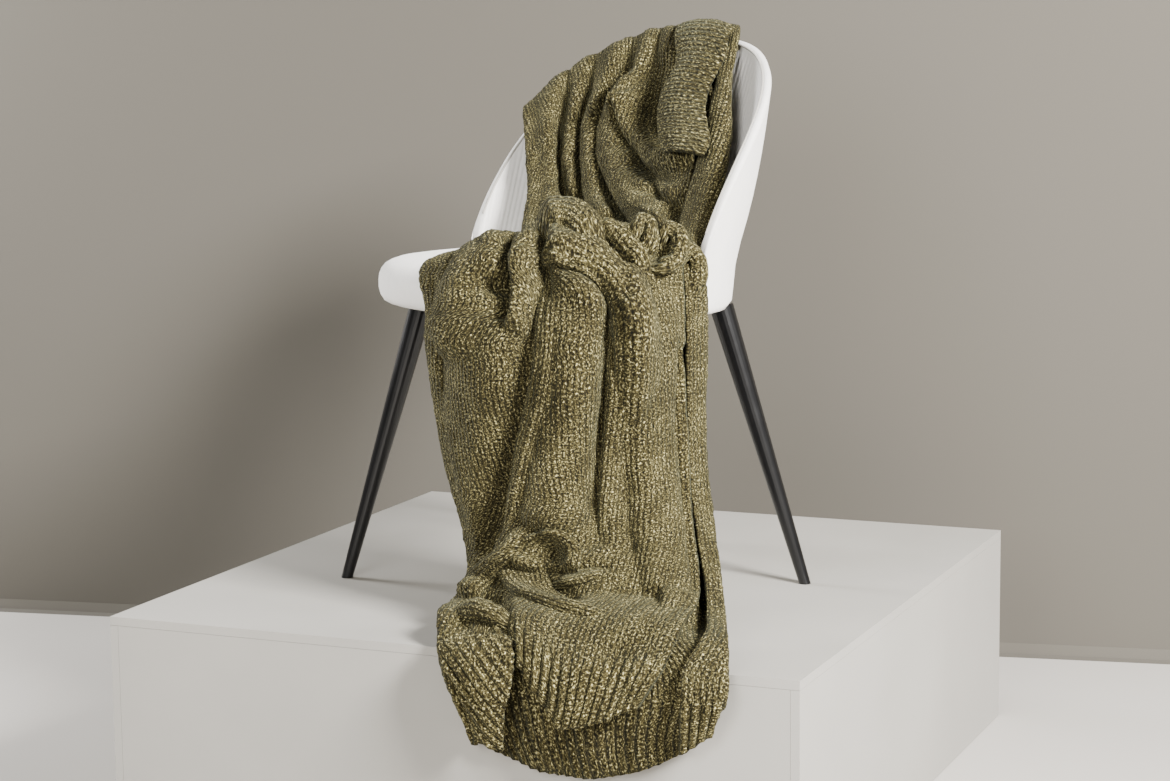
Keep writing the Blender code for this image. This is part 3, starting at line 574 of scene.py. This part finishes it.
def folds(a, s):
    """Height out and sideways and lengthwise lean that the fold table gives at each point."""
    high, side, down = np.zeros_like(a), np.zeros_like(a), np.zeros_like(a)
    for name, height, left, right, path in FOLDS:
        lean = LEAN.get(name, 0.0)
        reach = 3.2 * max(left, right) + 0.004
        pa, ps = np.array(path)[:, 0], np.array(path)[:, 1]
        near_by = ((a > pa.min() - reach) & (a < pa.max() + reach)
                   & (s > ps.min() - reach) & (s < ps.max() + reach))
        if not near_by.any():
            continue
        x, y = a[near_by], s[near_by]
        best = np.full_like(x, 1e9)
        off, nx, ny = np.zeros_like(x), np.zeros_like(x), np.zeros_like(x)
        for (a0, s0), (a1, s1) in zip(path, path[1:]):
            ta, ts = a1 - a0, s1 - s0
            length = math.hypot(ta, ts)
            t = np.clip(((x - a0) * ta + (y - s0) * ts) / length ** 2, 0, 1)
            ra, rs = x - a0 - ta * t, y - s0 - ts * t
            away = np.hypot(ra, rs)
            near = away < best
            best = np.where(near, away, best)
            off = np.where(near, ra * ts - rs * ta, off)
            nx, ny = np.where(near, ts / length, nx), np.where(near, -ta / length, ny)
        width = np.where(off > 0, right, left)
        if height > 0:
            q = np.clip(best / (2.0 * width), 0, 1)
            bump = height * (1 - q * q) ** 1.1
        else:
            bump = height * np.exp(-(best / width) ** 1.5)
        high[near_by] += bump
        side[near_by] += lean * bump * nx
        down[near_by] += lean * bump * ny
    press = 1 - (1 - PRESSED_AT_RIM) * np.exp(-((s - 0.235) / 0.05) ** 2)
    return high * press, side * press, down * press


# Where the front layer, the left bend, the back layer and the right bend end on the way round the folded
# sheet, then the share of the way that a bend, the back layer and the strip folded back to the front take up.
FRONT_ENDS, LEFT_BEND_ENDS, BACK_ENDS, RIGHT_BEND_ENDS = 0.56, 0.60, 0.93, 0.97
BEND_SHARE, BACK_SHARE, STRIP_SHARE = 0.04, 0.33, 0.03
# How much shorter than the back layer the front layer hangs at the hem: place across, by how much.
FRONT_SHORTER = [
    (-0.125, 0.0), (-0.100, 0.150), (-0.074, 0.140), (-0.060, 0.119), (-0.034, 0.089), (-0.014, 0.062),
    (0.034, 0.071), (0.082, 0.089), (0.140, 0.094),
]


def across(t, s):
    """Cloth's middle surface: t from the free front edge round to the strip's edge, s along the length."""
    v = read_table(SECTIONS, s)
    left, right, gap = v[..., 0], v[..., 1], v[..., 8]
    free = read_table(OPENING, s)
    edge, strip = free[..., 0], free[..., 1]
    turn = gap / 2
    front = t < FRONT_ENDS
    left_bend = (t >= FRONT_ENDS) & (t < LEFT_BEND_ENDS)
    back = (t >= LEFT_BEND_ENDS) & (t < BACK_ENDS)
    right_bend = (t >= BACK_ENDS) & (t < RIGHT_BEND_ENDS)
    layers = [front, left_bend, back, right_bend, t >= RIGHT_BEND_ENDS]
    round_left = (t - FRONT_ENDS) / BEND_SHARE * math.pi
    round_right = (t - BACK_ENDS) / BEND_SHARE * math.pi
    a = np.select(layers, [
        edge + (left - edge) * t / FRONT_ENDS,
        left - turn * np.sin(round_left),
        left + (right - left) * (t - LEFT_BEND_ENDS) / BACK_SHARE,
        right + turn * np.sin(round_right),
        right + (strip - right) * (t - RIGHT_BEND_ENDS) / STRIP_SHARE])
    out = np.select(layers, [
        np.zeros_like(s), -turn + turn * np.cos(round_left), -gap, -turn - turn * np.cos(round_right),
        np.zeros_like(s)])
    on = np.clip((a - left) / 0.032, 0, 1) * front
    on = on * on * (3 - 2 * on)
    short = np.interp(a, *zip(*FRONT_SHORTER))
    along = s - short * np.clip((s - 1.30) / 0.38, 0, 1) ** 1.5 * front
    high, side, down = folds(a, along)
    low = gap - 0.0065
    high = np.where(high < 0, -low * np.tanh(-high / low), high)
    p = hang(a + side * on, along + down * on)
    pa = hang(a + FEELER, along) - hang(a - FEELER, along)
    ps = hang(a, np.minimum(along + FEELER, SECTIONS[-1][1])) - hang(a, np.maximum(along - FEELER, 0.0))
    n = np.cross(pa, ps)
    n /= np.linalg.norm(n, axis=-1, keepdims=True)
    ripple = 0.003 * np.sin(a * 95.0) * np.clip((s - 1.50) / 0.12, 0, 1) * back
    return p + n * (out + high * on + ripple)[..., None]


def to_row(p):
    """Drape frame -> row frame."""
    c, s = math.cos(math.radians(DRAPE_DEG)), math.sin(math.radians(DRAPE_DEG))
    return np.stack([CHAIR_AT[0] + p[..., 0] * c + p[..., 1] * s, CHAIR_AT[1] + p[..., 0] * s - p[..., 1] * c,
                     p[..., 2] + PLINTH_TOP], -1)


def wander(a, s, pitch_a, pitch_s, seed):
    """Smooth random swell with bumps about pitch_a across and pitch_s along."""
    bumps = 90
    draw = np.random.RandomState(seed).uniform(-1, 1, (bumps, bumps))
    x, y = (a + 1.0) / pitch_a, (s + 0.1) / pitch_s
    i, j = np.floor(x).astype(int), np.floor(y).astype(int)
    fx, fy = x - i, y - j
    fx, fy = fx * fx * (3 - 2 * fx), fy * fy * (3 - 2 * fy)
    near_left, near_right, far_left, far_right = (
        draw[(i + right) % bumps, (j + far) % bumps] for far in (0, 1) for right in (0, 1))
    return ((near_left * (1 - fx) + near_right * fx) * (1 - fy)
            + (far_left * (1 - fx) + far_right * fx) * fy)


def laid_on(a, s, height):
    """Points that height above the hanging cloth, and which way is out of it there."""
    n = np.cross(hang(a + FEELER, s) - hang(a - FEELER, s), hang(a, s + FEELER) - hang(a, s - FEELER))
    n /= np.linalg.norm(n, axis=-1, keepdims=True)
    return to_row(hang(a, s) + n * height[..., None]), n


def soften(grid):
    """Takes the sharpest corners off, with the edges kept."""
    for axis in (0, 1):
        turned = np.moveaxis(grid, axis, 0).copy()
        turned[1:-1] = 0.5 * turned[1:-1] + 0.25 * (turned[:-2] + turned[2:])
        grid = np.moveaxis(turned, 0, axis)
    return grid


def outward(grid):
    """Which way is out of the cloth at each of its points."""
    n = np.cross(np.gradient(grid, axis=0), np.gradient(grid, axis=1))
    return n / (np.linalg.norm(n, axis=-1, keepdims=True) + 1e-12)


def ribs(grid, across_ribs, from_edge):
    """Raises the ribbed edge's cords: one each RIB_PITCH, over the last RIB_DEEP of the cloth."""
    deep = np.clip((1 - from_edge / RIB_DEEP) * 9, 0, 1)
    cord = 2 * np.abs(np.sin(math.pi * across_ribs / RIB_PITCH)) ** 0.7 - 1
    return grid + outward(grid) * (RIB_SWELL * cord * deep)[..., None]


def nubs(grid, seed):
    """Raises the small knots that chenille yarn makes all over the cloth."""
    knots = np.random.RandomState(seed).normal(0.0, 1.0, grid.shape[:2])
    return grid + outward(grid) * (NUB_HEIGHT * knots)[..., None]


def thick_cloth(grid, thread_u, thread_s, thickness):
    """Closed sheet: full grid outside, every second row and column inside, joined round the rim."""
    threads = np.stack([thread_u, thread_s], -1)
    rows, columns = grid.shape[:2]
    out = outward(grid) * thickness / 2
    outer, inner = grid + out, (grid - out)[::2, ::2]
    r2, c2 = inner.shape[:2]
    base = rows * columns
    i, j = np.meshgrid(np.arange(rows - 1), np.arange(columns - 1), indexing="ij")
    quads = np.stack([i * columns + j, (i + 1) * columns + j, (i + 1) * columns + j + 1,
                      i * columns + j + 1], -1)
    i, j = np.meshgrid(np.arange(r2 - 1), np.arange(c2 - 1), indexing="ij")
    under = base + np.stack([i * c2 + j, i * c2 + j + 1, (i + 1) * c2 + j + 1, (i + 1) * c2 + j], -1)
    fine_ring = [(0, c) for c in range(columns - 1)]
    fine_ring += [(r, columns - 1) for r in range(rows - 1)]
    fine_ring += [(rows - 1, c) for c in range(columns - 1, 0, -1)]
    fine_ring += [(r, 0) for r in range(rows - 1, 0, -1)]
    rim = []
    for k in range(0, len(fine_ring), 2):
        a, b, c = (fine_ring[m % len(fine_ring)] for m in (k, k + 1, k + 2))
        low_a, low_c = (base + (r // 2) * c2 + q // 2 for r, q in (a, c))
        top_a, top_b, top_c = (r * columns + q for r, q in (a, b, c))
        rim += [(top_a, top_b, low_a), (top_b, low_c, low_a), (top_b, top_c, low_c)]
    corners = np.concatenate([outer.reshape(-1, 3), inner.reshape(-1, 3)])
    flat = np.concatenate([threads.reshape(-1, 2), threads[::2, ::2].reshape(-1, 2)])
    return corners, flat, np.concatenate([quads.reshape(-1, 4), under.reshape(-1, 4)]), np.array(rim)


# Rows down the cloth, close where it folds most: from, to, how many. Then the points across are shared out so
# that those on the back layer, which shows least, lie furthest apart.
length_end = SECTIONS[-1][1]
row_steps = [(0.00, 0.20, 12), (0.20, 0.58, 72), (0.58, 0.78, 30), (0.78, 1.00, 52), (1.00, 1.18, 20),
             (1.18, 1.48, 60), (1.48, length_end, 38)]
rows = np.concatenate([np.linspace(a, b, n + 1)[:-1] for a, b, n in row_steps] + [[length_end]])
WIDE = 213
fine = np.linspace(0, 1, 1500)
lines = across(*np.meshgrid(fine, rows))
step = np.linalg.norm(np.diff(lines, axis=1), axis=-1)
level = np.clip((rows - 1.28) / 0.10, 0, 1)[:, None]
step = (1 - 0.85 * level) * step + 0.85 * level * np.abs(np.diff(lines[..., 0], axis=1))
back_share = np.clip((rows - 1.20) / 0.15, 0, 1) * 0.62 + 0.30
cloth = np.empty((len(rows), WIDE, 3))
for k in range(len(rows)):
    weigh = np.where((fine[1:] > LEFT_BEND_ENDS) & (fine[1:] < BACK_ENDS), back_share[k], 1.0)
    run = np.concatenate([[0.0], np.cumsum(step[k] * weigh)])
    spread = np.interp(np.linspace(0, run[-1], WIDE), run, fine)
    for axis in range(3):
        cloth[k, :, axis] = np.interp(spread, fine, lines[k, :, axis])
cloth = soften(to_row(cloth))
thread_s = np.concatenate([[0.0], np.cumsum(np.linalg.norm(np.diff(cloth, axis=0), axis=-1).mean(1))])
FLAT_LENGTH = float(thread_s[-1])
thread_u, thread_s = np.meshgrid(np.arange(WIDE) * RIB_PITCH / 4, thread_s)
cloth, thread_u = cloth[:, ::-1], thread_u[:, ::-1]
swell = (0.0016 * wander(thread_u, thread_s, 0.055, 0.110, 5)
         + 0.0009 * wander(thread_u, thread_s, 0.021, 0.034, 6)
         + 0.0006 * wander(thread_u, thread_s, 0.008, 0.008, 7))
cloth = cloth + outward(cloth) * swell[..., None]
cloth = ribs(cloth, thread_u, np.minimum(thread_s, FLAT_LENGTH - thread_s))
sheets = [thick_cloth(nubs(cloth, 11), thread_u, thread_s, CLOTH_THICKNESS)]

# The other end's corner comes over the rim and hangs forward; its ribs lie level.
TURNED_END = [
    # s,    left,  right, out l, out r
    (0.222, 0.158, 0.240, -0.012, -0.006),
    (0.250, 0.162, 0.239, 0.001, -0.002),
    (0.275, 0.167, 0.234, 0.014, 0.004),
    (0.300, 0.173, 0.226, 0.020, 0.005),
    (0.322, 0.168, 0.214, 0.024, 0.006),
    (0.345, 0.158, 0.206, 0.027, 0.008),
    (0.375, 0.153, 0.203, 0.029, 0.012),
    (0.405, 0.152, 0.205, 0.030, 0.012),
    (0.430, 0.153, 0.205, 0.029, 0.010),
    (0.452, 0.160, 0.197, 0.027, 0.012),
]
end_s = np.linspace(TURNED_END[0][0], TURNED_END[-1][0], 57)
end_f = np.linspace(0, 1, 35)
f, s = np.meshgrid(end_f, end_s)
v = smooth([r[0] for r in TURNED_END], [r[1:] for r in TURNED_END], s)
a = v[..., 0] + (v[..., 1] - v[..., 0]) * f
out = v[..., 2] + (v[..., 3] - v[..., 2]) * f ** 1.6 + 0.008 * np.sin(math.pi * f) ** 0.8
flap, _ = laid_on(a, s, out)
flap_u, flap_s = s, RIB_DEEP + 0.002 + (a - v[..., 0])
flap = ribs(flap, flap_u, flap_s)
sheets.append(thick_cloth(nubs(flap, 12), flap_u, flap_s, CLOTH_THICKNESS))

# Rolled folds that stand clear of the cloth under them. Each row: name, half width, how far the middle
# stands out, which side runs back into the cloth (0 neither, 1 the right and -1 the left as the path goes),
# over what length each end sinks back, then the places it passes through as (across, along) pairs.
ROLLED_FOLDS = [
    ("long roll", 0.0175, 0.014, 1, 0.022, 0.200, [
        (-0.038, 0.846), (-0.010, 0.858), (0.012, 0.867), (0.036, 0.876), (0.057, 0.890), (0.069, 0.912),
        (0.074, 0.940), (0.076, 0.985), (0.077, 1.040), (0.080, 1.130)]),
    ("upper roll", 0.0190, 0.016, 1, 0.024, 0.050, [
        (-0.034, 0.834), (-0.018, 0.818), (0.002, 0.818), (0.020, 0.830), (0.034, 0.846), (0.052, 0.864)]),
    ("fold beside the long roll", 0.0110, 0.013, 0, 0.020, 0.040, [
        (0.034, 0.840), (0.052, 0.830), (0.066, 0.840), (0.078, 0.856), (0.094, 0.874), (0.108, 0.892)]),
    ("middle loop", 0.0095, 0.020, 0, 0.016, 0.022, [
        (0.080, 0.850), (0.084, 0.832), (0.093, 0.820), (0.104, 0.826), (0.104, 0.844), (0.090, 0.862)]),
    ("right loop", 0.0085, 0.020, 0, 0.016, 0.020, [
        (0.116, 0.842), (0.125, 0.824), (0.136, 0.828), (0.138, 0.850), (0.128, 0.868), (0.112, 0.874),
        (0.100, 0.866)]),
    ("edge of the middle pleat", 0.0120, 0.001, 1, 0.060, 0.100, [
        (-0.026, 0.872), (-0.030, 0.924), (-0.033, 0.969), (-0.044, 1.038), (-0.060, 1.116), (-0.073, 1.209),
        (-0.090, 1.285)]),
    ("edge of the right pleat", 0.0110, 0.000, 1, 0.060, 0.120, [
        (0.064, 0.960), (0.062, 1.035), (0.056, 1.095), (0.048, 1.206), (0.044, 1.280)]),
    ("top of the strip", 0.0100, 0.006, 0, 0.016, 0.050, [
        (0.138, 0.870), (0.145, 0.850), (0.157, 0.842), (0.168, 0.852), (0.170, 0.880), (0.168, 0.920)]),
    ("ridge over the pocket", 0.0085, 0.008, -1, 0.024, 0.024, [
        (-0.060, 1.345), (-0.055, 1.300), (-0.039, 1.268), (-0.016, 1.262), (0.001, 1.280), (0.004, 1.315),
        (-0.004, 1.345)]),
    ("fold under the crease", 0.0100, -0.002, 1, 0.024, 0.040, [
        (-0.030, 1.362), (-0.008, 1.366), (0.014, 1.358), (0.032, 1.346), (0.060, 1.350)]),
    ("shoulder of the swell", 0.0150, 0.000, 1, 0.040, 0.090, [
        (-0.082, 1.318), (-0.072, 1.372), (-0.050, 1.420), (-0.018, 1.452), (0.028, 1.466), (0.080, 1.470)]),
    ("left ridge", 0.0150, 0.004, 0, 0.070, 0.024, [
        (-0.046, 1.220), (-0.066, 1.290), (-0.096, 1.336), (-0.124, 1.376), (-0.144, 1.422)]),
    ("left roll on the plinth", 0.0150, 0.008, 0, 0.018, 0.040, [
        (-0.074, 1.492), (-0.102, 1.488), (-0.130, 1.482), (-0.156, 1.470)]),
    ("top of the left hem", 0.0090, 0.008, 0, 0.018, 0.018, [
        (-0.172, 1.536), (-0.144, 1.542), (-0.114, 1.536), (-0.078, 1.524)]),
]
ROLL_STEP, ROLL_TURN = 0.0075, 122
for name, half, stand, skirt, start, finish, path in ROLLED_FOLDS:
    path = np.array(path)
    run = np.concatenate([[0.0], np.cumsum(np.linalg.norm(np.diff(path, axis=0), axis=1))])
    at = np.linspace(0, run[-1], 2 * int(run[-1] / ROLL_STEP) + 9)
    middle = smooth(run, path, at)
    ahead = np.gradient(middle, axis=0)
    ahead /= np.linalg.norm(ahead, axis=-1, keepdims=True)
    rise = np.clip(np.minimum(at / start, (run[-1] - at) / finish), 0, 1)
    blunt = np.sqrt(1 - (1 - rise) ** 2)
    turn = np.radians(np.linspace(-ROLL_TURN, ROLL_TURN, 17))
    aside, up = np.sin(turn), 0.86 * np.cos(turn)
    if skirt:
        reach = np.linspace(0, 1, 7)[1:]
        keep = turn < math.radians(40)
        aside = np.concatenate([aside[keep], aside[keep][-1] + 2.4 * reach])
        up = np.concatenate([up[keep], up[keep][-1] * (1 - reach) ** 1.6 - 0.35 * reach])
    radius = half * (0.35 + 0.65 * blunt)[:, None] * (1 + 0.08 * np.sin(at / 0.019 + 700 * half)[:, None]
                                                     * np.cos(1.5 * aside)[None, :])
    sunk = (1 - rise) ** 2 * (1 + 2 * rise)
    level = (stand - (stand + 0.012) * sunk)[:, None] * np.clip(1.4 - 0.5 * np.abs(aside), 0, 1)[None, :]
    turned = -1 if skirt < 0 else 1
    a = middle[:, :1] + ahead[:, 1:] * turned * radius * aside[None, :]
    s = middle[:, 1:] - ahead[:, :1] * turned * radius * aside[None, :]
    height = level + radius * up[None, :] + np.clip(folds(a, s)[0], -0.004, 0.03) * 0.8
    roll, n = laid_on(a, s, height)
    round_roll = np.concatenate([[0.0], np.cumsum(np.hypot(np.diff(aside), np.diff(up)))])
    roll_u, roll_s = np.meshgrid(0.4 + half * round_roll, 0.6 + at)
    if outward(roll)[len(at) // 2, 8] @ (to_row(n) - to_row(0 * n))[len(at) // 2, 8] < 0:
        roll, roll_u = roll[:, ::-1], roll_u[:, ::-1]
    if roll.shape[1] % 2 == 0:
        roll, roll_u, roll_s = roll[:, :-1], roll_u[:, :-1], roll_s[:, :-1]
    sheets.append(thick_cloth(nubs(roll, 13), roll_u, roll_s, 0.8 * CLOTH_THICKNESS))

# The hem's left corner, turned so that its ribs slant, hangs in front of the rest.
LEFT_CORNER = [
    # left a, s,      right a, s,     out l, out r
    (-0.170, 1.536, -0.076, 1.522, 0.006, 0.012),
    (-0.168, 1.548, -0.070, 1.536, 0.010, 0.017),
    (-0.157, 1.568, -0.067, 1.556, 0.010, 0.018),
    (-0.146, 1.586, -0.072, 1.582, 0.010, 0.018),
    (-0.134, 1.607, -0.080, 1.608, 0.009, 0.017),
    (-0.120, 1.654, -0.083, 1.654, 0.008, 0.014),
]
down_f, side_f = np.meshgrid(np.linspace(0, 1, 57), np.linspace(0, 1, 41), indexing="ij")
v = smooth(np.linspace(0, 1, len(LEFT_CORNER)), LEFT_CORNER, down_f)
a = v[..., 0] + (v[..., 2] - v[..., 0]) * side_f
s = v[..., 1] + (v[..., 3] - v[..., 1]) * side_f
out = v[..., 4] + (v[..., 5] - v[..., 4]) * side_f + 0.007 * np.sin(math.pi * side_f)
corner, _ = laid_on(a, s, out)
corner_u = (s - 1.5) * 0.75 - (a + 0.17) * 0.70 + 0.3
corner_s = -0.01 - ((s - 1.5) * 0.70 + (a + 0.17) * 0.75)
corner = ribs(corner, corner_u, 0.0 * s)
sheets.append(thick_cloth(corner, corner_u, corner_s, CLOTH_THICKNESS))

before = np.cumsum([0] + [len(sheet[0]) for sheet in sheets])
corners = np.concatenate([sheet[0] for sheet in sheets])
flat = np.concatenate([sheet[1] for sheet in sheets])
quads = np.concatenate([sheet[2] + first for sheet, first in zip(sheets, before)])
rims = np.concatenate([sheet[3] + first for sheet, first in zip(sheets, before)])
loops = np.concatenate([quads.ravel(), rims.ravel()]).astype(np.int32)
starts = np.concatenate([np.arange(len(quads)) * 4, quads.size + np.arange(len(rims)) * 3]).astype(np.int32)
blanket_mesh = bpy.data.meshes.new("blanket")
blanket_mesh.vertices.add(len(corners))
blanket_mesh.vertices.foreach_set("co", corners.astype(np.float32).ravel())
blanket_mesh.loops.add(len(loops))
blanket_mesh.loops.foreach_set("vertex_index", loops)
blanket_mesh.polygons.add(len(starts))
blanket_mesh.polygons.foreach_set("loop_start", starts)
blanket_mesh.polygons.foreach_set("use_smooth", np.ones(len(starts), bool))
blanket_mesh.update(calc_edges=True)
blanket_mesh.validate()
thread_map = blanket_mesh.uv_layers.new(name="threads")
thread_map.data.foreach_set("uv", flat[loops].astype(np.float32).ravel())

chenille, chenille_shader = plain_material("chenille_yarn", (0.20, 0.18, 0.09), 0.95)
tree = chenille.node_tree
adjust(chenille_shader, sheen_weight=0.06, sheen_roughness=0.5, sheen_tint=(0.72, 0.78, 0.52, 1.0),
       specular_ior_level=0.12)
thread = node(tree, "UVMap", (-1900, 0), uv_map="threads")
pile_map = node(tree, "Mapping", (-1650, 250), scale=(540.0, 330.0, 1.0))
tuft_map = node(tree, "Mapping", (-1650, -50), scale=(980.0, 700.0, 1.0))
broad_map = node(tree, "Mapping", (-1650, -350), scale=(34.0, 20.0, 1.0))
pile = node(tree, "TexNoise", (-1400, 250), scale=1.0, detail=1.5, roughness=0.6, distortion=0.3)
tuft = node(tree, "TexNoise", (-1400, -50), scale=1.0, detail=2.0, roughness=0.7)
broad = node(tree, "TexNoise", (-1400, -350), scale=1.0, detail=2.0, roughness=0.5)
blend_a = node(tree, "Mix", (-1150, 150), data_type="FLOAT")
blend_a.inputs[0].default_value = 0.34
blend_b = node(tree, "Mix", (-950, 50), data_type="FLOAT")
blend_b.inputs[0].default_value = 0.10
yarn = node(tree, "ValToRGB", (-740, 150))
blend_colors(yarn, (0.38, (0.004, 0.004, 0.002, 1)), (0.44, (0.012, 0.009, 0.003, 1)),
             (0.50, (0.032, 0.026, 0.009, 1)), (0.55, (0.088, 0.075, 0.030, 1)),
             (0.59, (0.21, 0.185, 0.085, 1)), (0.64, (0.50, 0.45, 0.23, 1)))
split = node(tree, "SeparateXYZ", (-1650, -650))


def ridges_with_painted_shade(pitch, darkest, lightest, y):
    """Ridges along the cloth: painted shade in the grooves, painted highlight on the crests; gives the nodes
    for their height and their painted shade.
    """
    turn = node(tree, "Math", (-1400, y), operation="MULTIPLY")
    turn.inputs[1].default_value = math.pi / pitch
    wave = node(tree, "Math", (-1200, y), operation="SINE")
    size = node(tree, "Math", (-1000, y), operation="ABSOLUTE")
    tone = node(tree, "MapRange", (-800, y), to_min=darkest, to_max=lightest)
    wire(tree, (split, "X", turn, 0), (turn, "Value", wave, 0), (wave, "Value", size, 0),
         (size, "Value", tone, "Value"))
    return size, tone


# Painted shade between the wales and between the hem's ribs, with painted highlights on their crests.
wale_size, wale_painted_shade = ridges_with_painted_shade(WALE_PITCH, 0.45, 1.10, -650)
_, rib_painted_shade = ridges_with_painted_shade(RIB_PITCH, 0.16, 1.30, -850)
near_start = node(tree, "Math", (-1400, -1050), operation="LESS_THAN")
near_start.inputs[1].default_value = RIB_DEEP
near_finish = node(tree, "Math", (-1400, -1220), operation="GREATER_THAN")
near_finish.inputs[1].default_value = FLAT_LENGTH - RIB_DEEP
in_ribs = node(tree, "Math", (-1200, -1100), operation="ADD")
# Picks the hem's painted rib shade or the wales' painted shade; the multiply node below paints it into the
# yarn's colour.
shade = node(tree, "Mix", (-600, -600), data_type="FLOAT")
groove = node(tree, "Mix", (-430, 150), data_type="RGBA", blend_type="MULTIPLY")
groove.inputs[0].default_value = 1.0
raised = node(tree, "Math", (-620, -380), operation="ADD")
bumps = node(tree, "Bump", (-380, -300), strength=0.8, distance=0.0024)
wire(tree, (thread, "UV", pile_map, "Vector"), (thread, "UV", tuft_map, "Vector"),
     (thread, "UV", broad_map, "Vector"), (thread, "UV", split, "Vector"),
     (pile_map, "Vector", pile, "Vector"), (tuft_map, "Vector", tuft, "Vector"),
     (broad_map, "Vector", broad, "Vector"), (pile, "Fac", blend_a, 2), (tuft, "Fac", blend_a, 3),
     (blend_a, 0, blend_b, 2), (broad, "Fac", blend_b, 3), (blend_b, 0, yarn, "Fac"),
     (split, "Y", near_start, 0), (split, "Y", near_finish, 0),
     (near_start, "Value", in_ribs, 0), (near_finish, "Value", in_ribs, 1),
     (in_ribs, "Value", shade, 0), (wale_painted_shade, "Result", shade, 2), (rib_painted_shade, "Result", shade, 3),
     (yarn, "Color", groove, 6), (shade, 0, groove, 7), (groove, 2, chenille_shader, "Base Color"),
     (blend_a, 0, raised, 0), (wale_size, "Value", raised, 1),
     (raised, "Value", bumps, "Height"), (bumps, "Normal", chenille_shader, "Normal"))
blanket_mesh.materials.append(chenille)
blanket = add("chenille_blanket", blanket_mesh)
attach(blanket, "root")
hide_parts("blanket")
